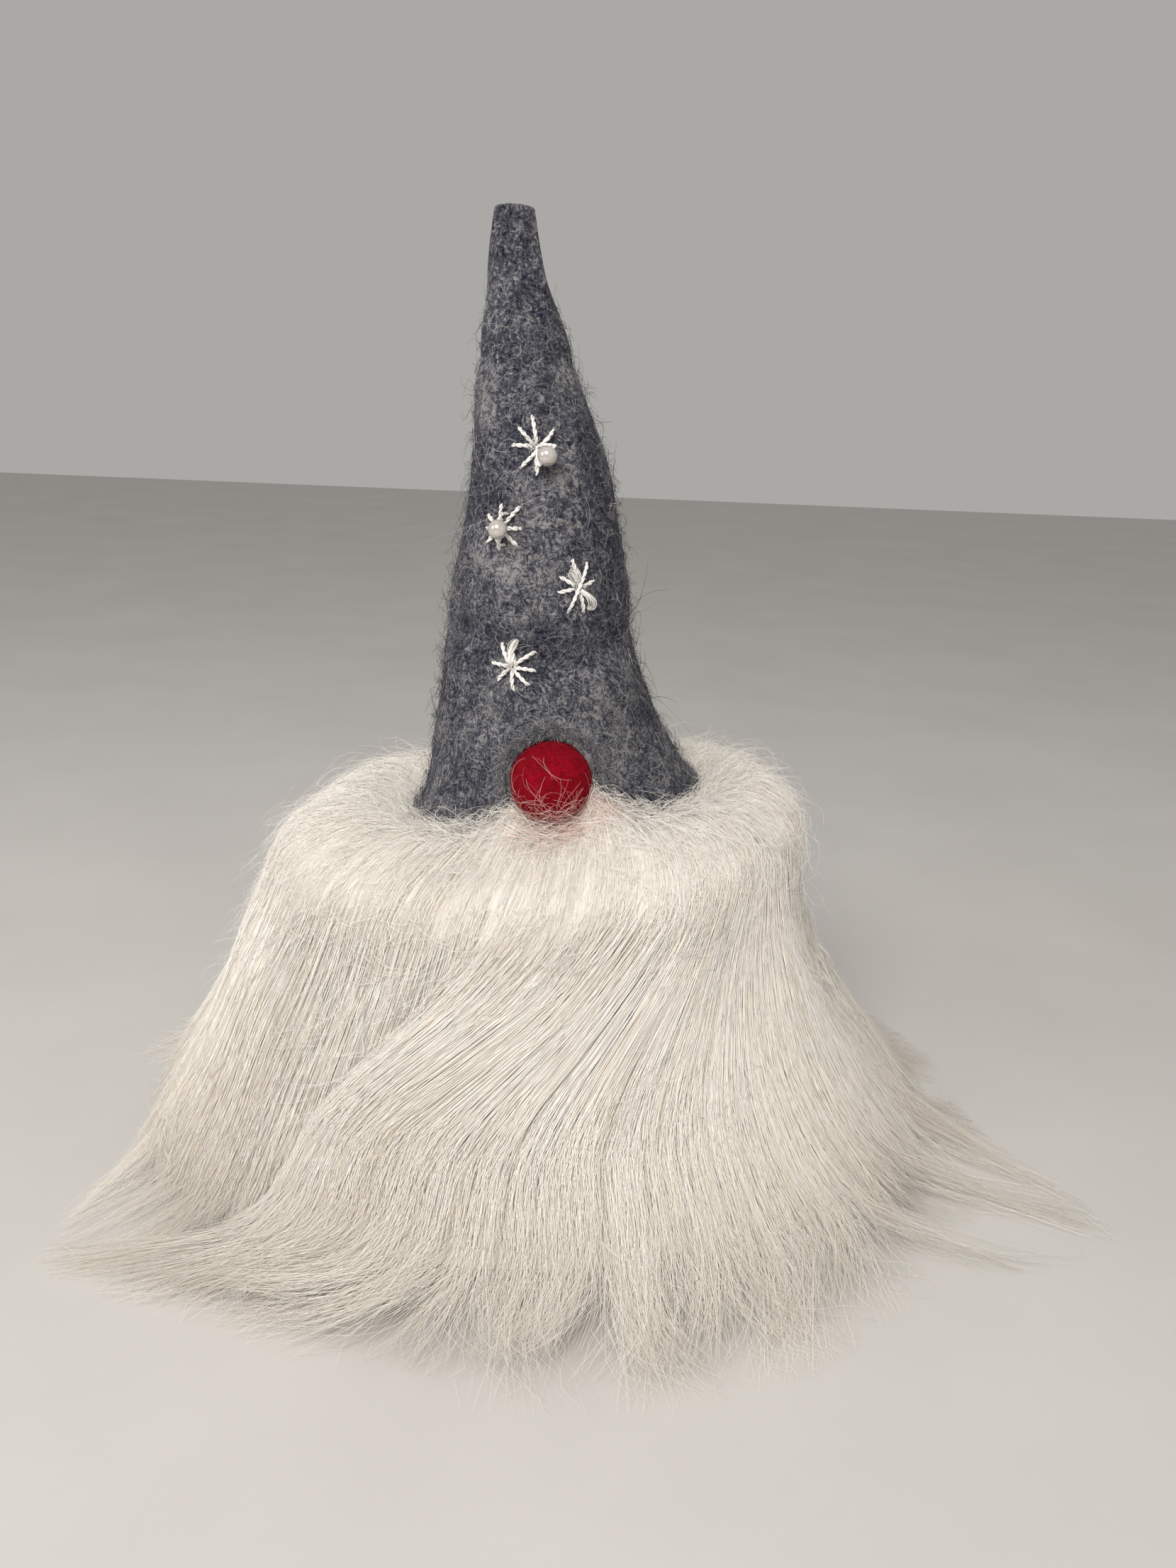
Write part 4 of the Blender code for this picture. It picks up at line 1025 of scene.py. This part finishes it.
plain = {
    "base_felt": base_wool, "base_board": board, "weight_bag": cotton.material, "body_stuffing": wadding,
    "hat_stuffing": wadding, "pelt_backing": hide, "pelt_seam_thread": floss, "hat_seam_thread": floss,
    "nose_thread": floss,
}
for node_name, finish in plain.items():
    node = frame["nodes"][node_name]
    if not node.material_slots:
        node.data.materials.append(finish)
    for material_slot in node.material_slots:
        material_slot.material = finish
print("frame pieces finished:", len(plain))

# %% [markdown]
# ## The fur's form
# The pelt's hair is far longer than the body is wide, so the coat has a form of its own: it rises from under
# the brim over a crest, rounds a shoulder, falls outwards and runs out over the table. That form is a
# function of the angle and a share u of the way from the brim to the table's edge.

# %% Coat measures
FUR_REACH, SHOULDER_R, SHOULDER_DROP = 0.142, 0.086, 0.018
CREST_R, CREST_Z, CREST_TILT, FUR_LEAN, FLARE_POWER = 0.068, 0.120, 0.006, -0.0085, 1.45
LONG_LOCKS = ((math.radians(-24), 0.040), (math.radians(-146), 0.022))
FALL_SHARES = (1.0, 0.90, 0.80, 0.68, 0.56, 0.44, 0.33, 0.22, 0.12, 0.05)
BULGE_AT, BULGE = math.radians(188), 0.0050


def coat_stations(angle):
    """Radius and height of the coat's outer form at its stations, from under the brim to beyond the table's
    edge. In front of the body the form starts just under the nose instead of at the brim."""
    level = 0 * angle
    crest_z = CREST_Z + CREST_TILT * np.cos(angle)
    brim_r = HAT_HALF + np.hypot(BRIM_FLARE * np.cos(angle), BRIM_FLARE_FRONT * np.sin(angle)) + 0.002
    beside = np.abs(brim_r * np.cos(angle) - nose_at[0]) / nose_r
    chin = nose_at[2] - nose_r * np.sqrt(np.clip(1 - beside**2, 0, 1)) - 0.0012
    chin = chin + 0.05 * np.maximum(beside - 0.9, 0)
    under = np.where(np.sin(angle) < 0, np.minimum(brim_edge(angle), chin), brim_edge(angle)) - 0.0004
    reach = FUR_REACH + sum(extra * bell(apart(angle, at), 0.20) for at, extra in LONG_LOCKS)
    r = [brim_r - 0.007, brim_r - 0.001, brim_r + 0.5 * (CREST_R - brim_r), CREST_R + level]
    r += [SHOULDER_R - 0.005 + level]
    z = [under - 0.004, under, 0.4 * under + 0.6 * crest_z + 0.0015, crest_z, crest_z - 0.0085]
    r += [SHOULDER_R + (FUR_REACH - SHOULDER_R) * (1 - share) ** FLARE_POWER + level for share in FALL_SHARES]
    z += [(crest_z - SHOULDER_DROP) * share for share in FALL_SHARES]
    r += [0.55 * FUR_REACH + 0.45 * reach, reach, reach + 0.014]
    z += [0.0030 + level, 0.0014 + level, 0.0008 + level]
    return np.stack(r), np.stack(z)


probe_r, probe_z = coat_stations(np.array([0.6]))
STATION_U = np.concatenate([[0], np.cumsum(np.hypot(np.diff(probe_r[:, 0]), np.diff(probe_z[:, 0])))])
COAT_LONG = STATION_U[-1]
STATION_U = STATION_U / COAT_LONG
print(f"hair path from brim to table's edge: {COAT_LONG / MM:.0f} mm over {len(STATION_U)} stations")


def coat_at(angle, u):
    """Radius, height and the outward normal (in radius and height) of the coat's form. Between stations it is
    a cubic through the four nearest, whose weights and slopes are polynomials of the fraction f."""
    stations = coat_stations(angle)
    last = len(STATION_U) - 1
    at = np.interp(np.clip(u, 0, 1), STATION_U, np.arange(last + 1))
    i = np.clip(np.floor(at).astype(int), 0, last - 1)
    f = at - i
    four = [np.clip(i + k, 0, last)[None] for k in (-1, 0, 1, 2)]
    weights = (-f + 2 * f**2 - f**3, 2 - 5 * f**2 + 3 * f**3, f + 4 * f**2 - 3 * f**3, -(f**2) + f**3)
    slopes = (-1 + 4 * f - 3 * f**2, -10 * f + 9 * f**2, 1 + 8 * f - 9 * f**2, -2 * f + 3 * f**2)
    (r, z), (dr, dz) = (
        [sum(0.5 * w * np.take_along_axis(a, k, 0)[0] for w, k in zip(shares, four)) for a in stations]
        for shares in (weights, slopes)
    )
    size = np.maximum(np.hypot(dr, dz), 1e-9)
    return r, z, -dz / size, dr / size


def coat_point(angle, u, depth):
    """The coat's point at an angle and share, depth metres under its form. Puffs between the locks and a bulge
    on the left shoulder raise it, and the whole coat leans sideways most at half its height."""
    r, z, nr, nz = coat_at(angle, u)
    puffs = np.sin(5 * angle + 1.0) + 0.7 * np.sin(9 * angle + 2.2 + 6 * u) + 0.6 * np.sin(13 * angle - 9 * u)
    depth = depth - 0.0011 * puffs * smooth(u, 0.04, 0.14) * (1 - 0.6 * smooth(u, 0.5, 0.9))
    bulge = BULGE * bell(apart(angle, BULGE_AT), 0.65)
    depth = depth - bulge * smooth(u, 0.10, 0.24) * (1 - smooth(u, 0.42, 0.66))
    r, z = r - depth * nr, z - depth * nz
    lean = FUR_LEAN * np.sin(math.pi * np.clip(z / CREST_Z, 0, 1)) ** 0.7 * smooth(u, 0.06, 0.22)
    return round_points(r, angle, z) + lean[..., None] * [1.0, 0.0, 0.0]


# %% [markdown]
# ## How the hair is combed
# Hair parts and sweeps. Each place on the coat is named by the angle m where its hair passes half way down.
# Tables say from which angle at the crest that hair comes, how it drifts on the table, and how high it lies,
# so that the swept front lies over the straight fall beside it, with a dark parting between them.

# %% Combing tables
# (m, angle at the crest, drift near the table, lift in mm), in degrees; m runs once round and overlaps itself.
COMBING = np.array([
    (-126, -101, -20, -4.0), (-123, -96, -22, 2.5), (-118, -89, -26, 5.0), (-112, -76, -30, 4.5),
    (-98, -67, -22, 3.0), (-85, -60, -9, 1.5), (-72, -52, -5, -0.6), (-62, -45, -2, -2.0), (-45, -36, 9, 1.0),
    (-34, -30, 8, 2.2), (-24, -23, 1, 1.0), (-10, -13, -7, -1.5), (3, 0, -6, 0.5), (30, 30, -2, 1.5),
    (62, 58, 4, -1.0), (90, 90, 0, 1.5), (120, 124, -4, -1.0), (150, 148, 2, 1.5), (180, 180, 0, -0.8),
    (205, 206, 4, 1.5), (222, 224, -4, 0.0), (240, 244, -12, -4.0), (253, 259, -16, -6.0),
])
M_LOW, M_HIGH = COMBING[0, 0], COMBING[-1, 0]


def combed(m, u):
    """Angle and lift of hair named m at share u: from the crest's angle to m by mid height, then drifting."""
    crest, drift, lift = (np.interp(m, COMBING[:, 0], COMBING[:, k]) for k in (1, 2, 3))
    angle = crest + (m - crest) * smooth(u, 0.24, 0.66) + drift * smooth(u, 0.70, 1.0) ** 1.3
    return np.radians(angle), lift * MM * smooth(u, 0.26, 0.50) * (1 - 0.7 * smooth(u, 0.80, 0.98))


# %% Locks and tufts
LOCKS, TUFTS, HEM_LOCKS = 300, 5200, 150
ROOT_DEPTH = 0.010
M_PER_U = 60.0  # degrees of m that count as much as one full u when the nearest lock is looked for
lock_m = dice.uniform(M_LOW, M_HIGH, LOCKS)
lock_u = dice.uniform(0.0, 0.95, LOCKS)
lock_lift = dice.normal(0.0, 0.55, LOCKS) * MM
lock_phase = dice.uniform(0, math.tau, LOCKS)
lock_wave = dice.uniform(0.4, 1.3, LOCKS)
tuft_m = dice.uniform(M_LOW, M_HIGH, TUFTS)
tuft_u = dice.uniform(0.0, 0.95, TUFTS)
tuft_phase = dice.uniform(0, math.tau, TUFTS)
hem_m = np.linspace(M_LOW, M_HIGH, HEM_LOCKS) + dice.uniform(-1.0, 1.0, HEM_LOCKS)
hem_end = 0.87 + 0.13 * dice.uniform(0, 1, HEM_LOCKS)
hem_swing = dice.normal(0.0, 5.5, HEM_LOCKS)
hem_phase = dice.uniform(0, math.tau, HEM_LOCKS)
hem_draw = dice.uniform(0.10, 0.65, HEM_LOCKS)


def nearest(m, u, centres_m, centres_u):
    """Index of the nearest centre, with distances in m and u put on one scale."""
    away = ((m[:, None] - centres_m) / M_PER_U) ** 2 + (u[:, None] - centres_u) ** 2
    return np.argmin(away, axis=1)


def hem_of(m):
    """Index of the hem lock that hair named m ends in."""
    return nearest(m, 0 * m, hem_m, 0 * hem_m)


def hair_paths(m, u_root, u_tip, depth, stations, stray):
    """Paths of hairs. Along a hair, u runs from root to tip; its m is drawn a little towards its tuft's, and
    near the table towards its hem lock's; it waves sideways; and it rises from deep in the coat to its own
    depth under the form."""
    n = len(m)
    s = np.linspace(0, 1, stations)[None]
    u = u_root[:, None] + (u_tip - u_root)[:, None] * s
    lock = nearest(m, 0.5 * (u_root + u_tip), lock_m, lock_u + 0.25)
    tuft = nearest(m, 0.5 * (u_root + u_tip), tuft_m, tuft_u + 0.25)
    hem = hem_of(m)
    near_tip, hem_gather = smooth(u, 0.50, 1.0), smooth(u, 0.72, 0.98)
    along_m = m[:, None] + (tuft_m[tuft] - m)[:, None] * 0.30 * near_tip * smooth(s, 0.3, 1.0)
    along_m = along_m + (hem_m[hem][:, None] - along_m) * hem_draw[hem][:, None] * hem_gather
    along_m = along_m + hem_swing[hem][:, None] * hem_gather**2
    along_m = along_m + dice.normal(0, 1.0, (n, 1)) * near_tip**2 * 2.2
    angle, lift = combed(np.clip(along_m, M_LOW, M_HIGH), u)
    own = dice.uniform(0, math.tau, (n, 1))

    def swaying(slowest, fastest, phase):
        """sin(pace * u + phase), with a pace of its own for each hair."""
        return np.sin(dice.uniform(slowest, fastest, (n, 1)) * u + phase)

    ripple = np.sin(30 * u + lock_phase[lock][:, None] + 0.5 * tuft_phase[tuft][:, None] * near_tip)
    sideways = (0.10 + 1.6 * near_tip) * lock_wave[lock][:, None] * ripple
    sideways = sideways + (0.22 + 0.9 * near_tip) * swaying(30, 80, own)
    sideways = sideways + stray * smooth(s, 0.2, 1.0) * swaying(10, 26, own)
    sideways = sideways + 5.2 * smooth(u, 0.76, 1.0) * swaying(34, 60, hem_phase[hem][:, None] + 0.6 * own)
    angle = angle + sideways * MM / np.maximum(coat_at(angle, u)[0], 0.04)
    under = (ROOT_DEPTH - depth)[:, None] * (1 - smooth(s, 0.0, 0.22))
    height = lift + lock_lift[lock][:, None] * smooth(u, 0.3, 0.6)
    bob = (1.0 * near_tip * np.sin(29 * u + 1.7 * own) + 0.3 * stray * smooth(s, 0.3, 1.0)) * MM
    path = coat_point(angle, u, depth[:, None] + under - height * (1 - 0.6 * smooth(u, 0.85, 1.0)) - bob)
    path[..., 2] = np.maximum(path[..., 2], 0.0004 + 0.0016 * dice.uniform(0, 1, (n, 1)))
    return path


# %% [markdown]
# Real fur has short dense wool under the long hair, and it is what stops you from seeing the leather. Here it
# is one closed skin a few millimetres under the form, laid out in the same m and u as the hair, so that its
# streaks run the way the hair is combed. It dives under the hair before the hem, so its edge never shows.

# %% Undercoat
UNDER_COLUMNS, UNDER_ROWS = 330, 70
PELT_WALL = ((0.0640, 0.0006), (0.0635, 0.004), (0.0560, 0.040), (0.0450, 0.085), (0.0400, 0.108))
wool_under = Finish("undercoat", 0.75, sheen=0.2, specular=0.2)
comb = wool_under.add("ShaderNodeAttribute")
comb.attribute_name = "comb"
streaks = wool_under.add(
    "ShaderNodeTexNoise", Vector=comb.outputs["Vector"], Scale=1.0, Detail=4.0, Roughness=0.6, Distortion=0.25
).outputs["Fac"]
wool_under.colour(wool_under.ramp(streaks, (0.35, (0.90, 0.87, 0.82)), (0.6, (0.96, 0.94, 0.91))))
wool_under.bump(streaks, 0.6, 0.0014)

m, u = np.meshgrid(np.linspace(M_LOW, M_HIGH, UNDER_COLUMNS), np.linspace(0.012, 0.775, UNDER_ROWS))
angle, lift = combed(m, u)
skin = coat_point(angle, u, 0.0020 * smooth(u, 0.0, 0.10) + 0.0060 * smooth(u, 0.50, 0.76) - lift)
skin[..., 2] = np.maximum(skin[..., 2], 0.0006)
wall = np.stack([round_points(r, angle[0], z) for r, z in PELT_WALL])
rings = np.concatenate([skin, wall])
faces = joined_faces(len(rings), UNDER_COLUMNS)[:, ::-1].tolist()
undercoat = new_piece("undercoat", rings, faces, wool_under.material, "body")
comb_at = np.zeros(rings.shape, np.float32)
comb_at[: len(skin), :, 0], comb_at[: len(skin), :, 1] = 2.6 * m, 9.0 * u
undercoat.data.attributes.new("comb", "FLOAT_VECTOR", "POINT").data.foreach_set("vector", comb_at.ravel())
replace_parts(undercoat, "fur_coat")

# %% [markdown]
# ## Long hair
# The pelt's hair is made in batches: long guard hairs from the crest, hairs that start lower down the fall,
# the hem's thinner ends, short crest hairs, and a few strays and wisps that keep the outline loose.

# %% Hair finish
hair_coat = Finish("long_wool", 0.48, specular=0.30)
on_strand = hair_coat.strand()
tone_colour = hair_coat.ramp(
    on_strand["X"], (0.00, (0.95, 0.66, 0.60)), (0.10, (0.95, 0.76, 0.70)), (0.14, (0.88, 0.80, 0.69)),
    (0.30, (0.95, 0.91, 0.84)), (0.60, (0.97, 0.945, 0.91)), (1.00, (0.96, 0.955, 0.95)),
)
# Painted shade: each hair is darker at its root, where it lies deep in the coat, and a touch creamier at its
# tip.
root_shade_and_tip_cream = ((0.0, (0.90, 0.88, 0.85)), (0.35, (1.0, 1.0, 1.0)), (1.0, (0.99, 0.97, 0.94)))
hair_coat.colour(hair_coat.multiplied(tone_colour, hair_coat.ramp(on_strand["Y"], *root_shade_and_tip_cream)))

# %% Hair
HAIR_TONES, SOFT_TONES, BLUSH_TONES = np.arange(3, TONES), np.arange(10, TONES), np.arange(0, 3)


def spread_m(count, crest_share, low=M_LOW, high=M_HIGH):
    """Random m: a share of them spread evenly in angle along the crest, and the rest evenly in m."""
    ends = np.interp([low, high], COMBING[:, 0], COMBING[:, 1])
    by_crest = np.interp(dice.uniform(*ends, count), COMBING[:, 1], COMBING[:, 0])
    return np.where(dice.uniform(0, 1, count) < crest_share, by_crest, dice.uniform(low, high, count))


def hair_piece(name, count, stations, roots, runs, thick, depth_mm, stray=0.0, crest_share=0.0):
    """Hairs whose roots lie in a range of u and which run on by a range of u, up to their hem lock's end."""
    m = spread_m(count, crest_share)
    u_root = dice.uniform(*roots, count)
    furthest = hem_end[hem_of(m)]
    run = dice.uniform(*runs, count)
    u_tip = np.minimum(u_root + run, furthest - 0.13 * dice.uniform(0, 1, count) ** 2)
    depth = depth_mm * MM * dice.uniform(0, 1, count) ** 1.3
    paths = hair_paths(m, u_root, u_tip, depth, stations, stray)
    tone = dice.choice(HAIR_TONES, count)
    s = np.linspace(0, 1, stations)[None]
    width = thick * dice.uniform(0.7, 1.3, (count, 1)) * (1 - 0.72 * s**2.2)
    strands(name, paths, width, hair_coat.material, "body", tone=tone)


for batch in range(3):
    hair_piece(f"hair_long_{batch + 1}", 2850, 8, (0.0, 0.22), (0.74, 1.0), 0.00010, 2.2, crest_share=0.5)
for batch in range(3):
    hair_piece(f"hair_fall_{batch + 1}", 3000, 8, (0.10, 0.60), (0.36, 0.85), 0.00010, 2.8, crest_share=0.25)
for batch in range(2):
    hair_piece(f"hair_hem_{batch + 1}", 3050, 7, (0.50, 0.84), (0.22, 0.50), 0.00008, 5.0, stray=3.5)
hair_piece("hair_crest", 3400, 6, (0.0, 0.14), (0.14, 0.34), 0.00009, 1.2, crest_share=1.0)
hair_piece("hair_stray", 420, 11, (0.05, 0.80), (0.25, 0.60), 0.00006, 0.5, stray=6.0)
hair_piece("hair_wisps", 900, 11, (0.62, 0.88), (0.20, 0.40), 0.00006, 2.0, stray=10.0)
print("long hair is on")

# %% [markdown]
# Shorter fluff softens the crest and hides the line where the felt meets the fur. A little of it in the front,
# just under the nose, is tinted pink.


# %% Fluff on the crest and along the brim
def fluff(name, count, stations, roots, lengths, rises, thick, down, tones=SOFT_TONES, m_range=(M_LOW, M_HIGH)):
    """Short loose hairs: each leaves the form in its own direction, bends, and ends its own rise above it."""
    m = spread_m(count, 1.0, *m_range)
    u_root = roots[0] + (roots[1] - roots[0]) * dice.uniform(0, 1, count) ** 1.8
    s = np.linspace(0, 1, stations)[None]
    heading = dice.normal(math.pi / 2, 1.0 / down, count)[:, None] + dice.normal(0, 1.6, (count, 1)) * s
    step = dice.uniform(*lengths, count)[:, None] / (stations - 1)
    sideways = np.cumsum(np.cos(heading) * step, axis=1)
    downwards = np.cumsum(np.sin(heading) * step, axis=1)
    u = np.clip(u_root[:, None] + downwards / COAT_LONG, 0, 1)
    angle = combed(m[:, None] + 0 * u, u)[0]
    angle = angle + sideways / coat_at(angle, u)[0]
    rise = dice.uniform(*rises, (count, 1)) * np.sin(s * dice.uniform(1.2, 2.4, (count, 1)))
    wiggle = 0.0004 * np.sin(7 * s + dice.uniform(0, math.tau, (count, 1)))
    paths = coat_point(angle, u, 0.0012 * (1 - s) - rise - wiggle)
    width = tapered(count, stations, thick, 0.4)
    strands(name, paths, width, hair_coat.material, "body", tone=dice.choice(tones, count))


fluff("fluff_crest", 4400, 5, (0.02, 0.58), (0.010, 0.026), (0.0003, 0.0030), 0.00008, 2.0)
fluff("fluff_brim", 3100, 5, (0.008, 0.05), (0.004, 0.012), (0.0008, 0.0055), 0.00007, 1.0)
fluff("fluff_loose", 1300, 6, (0.03, 0.50), (0.010, 0.022), (0.0030, 0.0090), 0.00005, 1.2)
fluff(
    "fluff_blush", 380, 5, (0.004, 0.09), (0.006, 0.014), (0.0004, 0.0022), 0.00008, 1.6,
    tones=BLUSH_TONES, m_range=(-126, -112),
)
print("fluff is on")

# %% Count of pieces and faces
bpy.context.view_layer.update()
pieces = [thing for thing in bpy.data.objects if thing.type == "MESH" and "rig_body" in thing]
print("pieces:", len(pieces), "faces:", sum(len(thing.data.polygons) for thing in pieces))
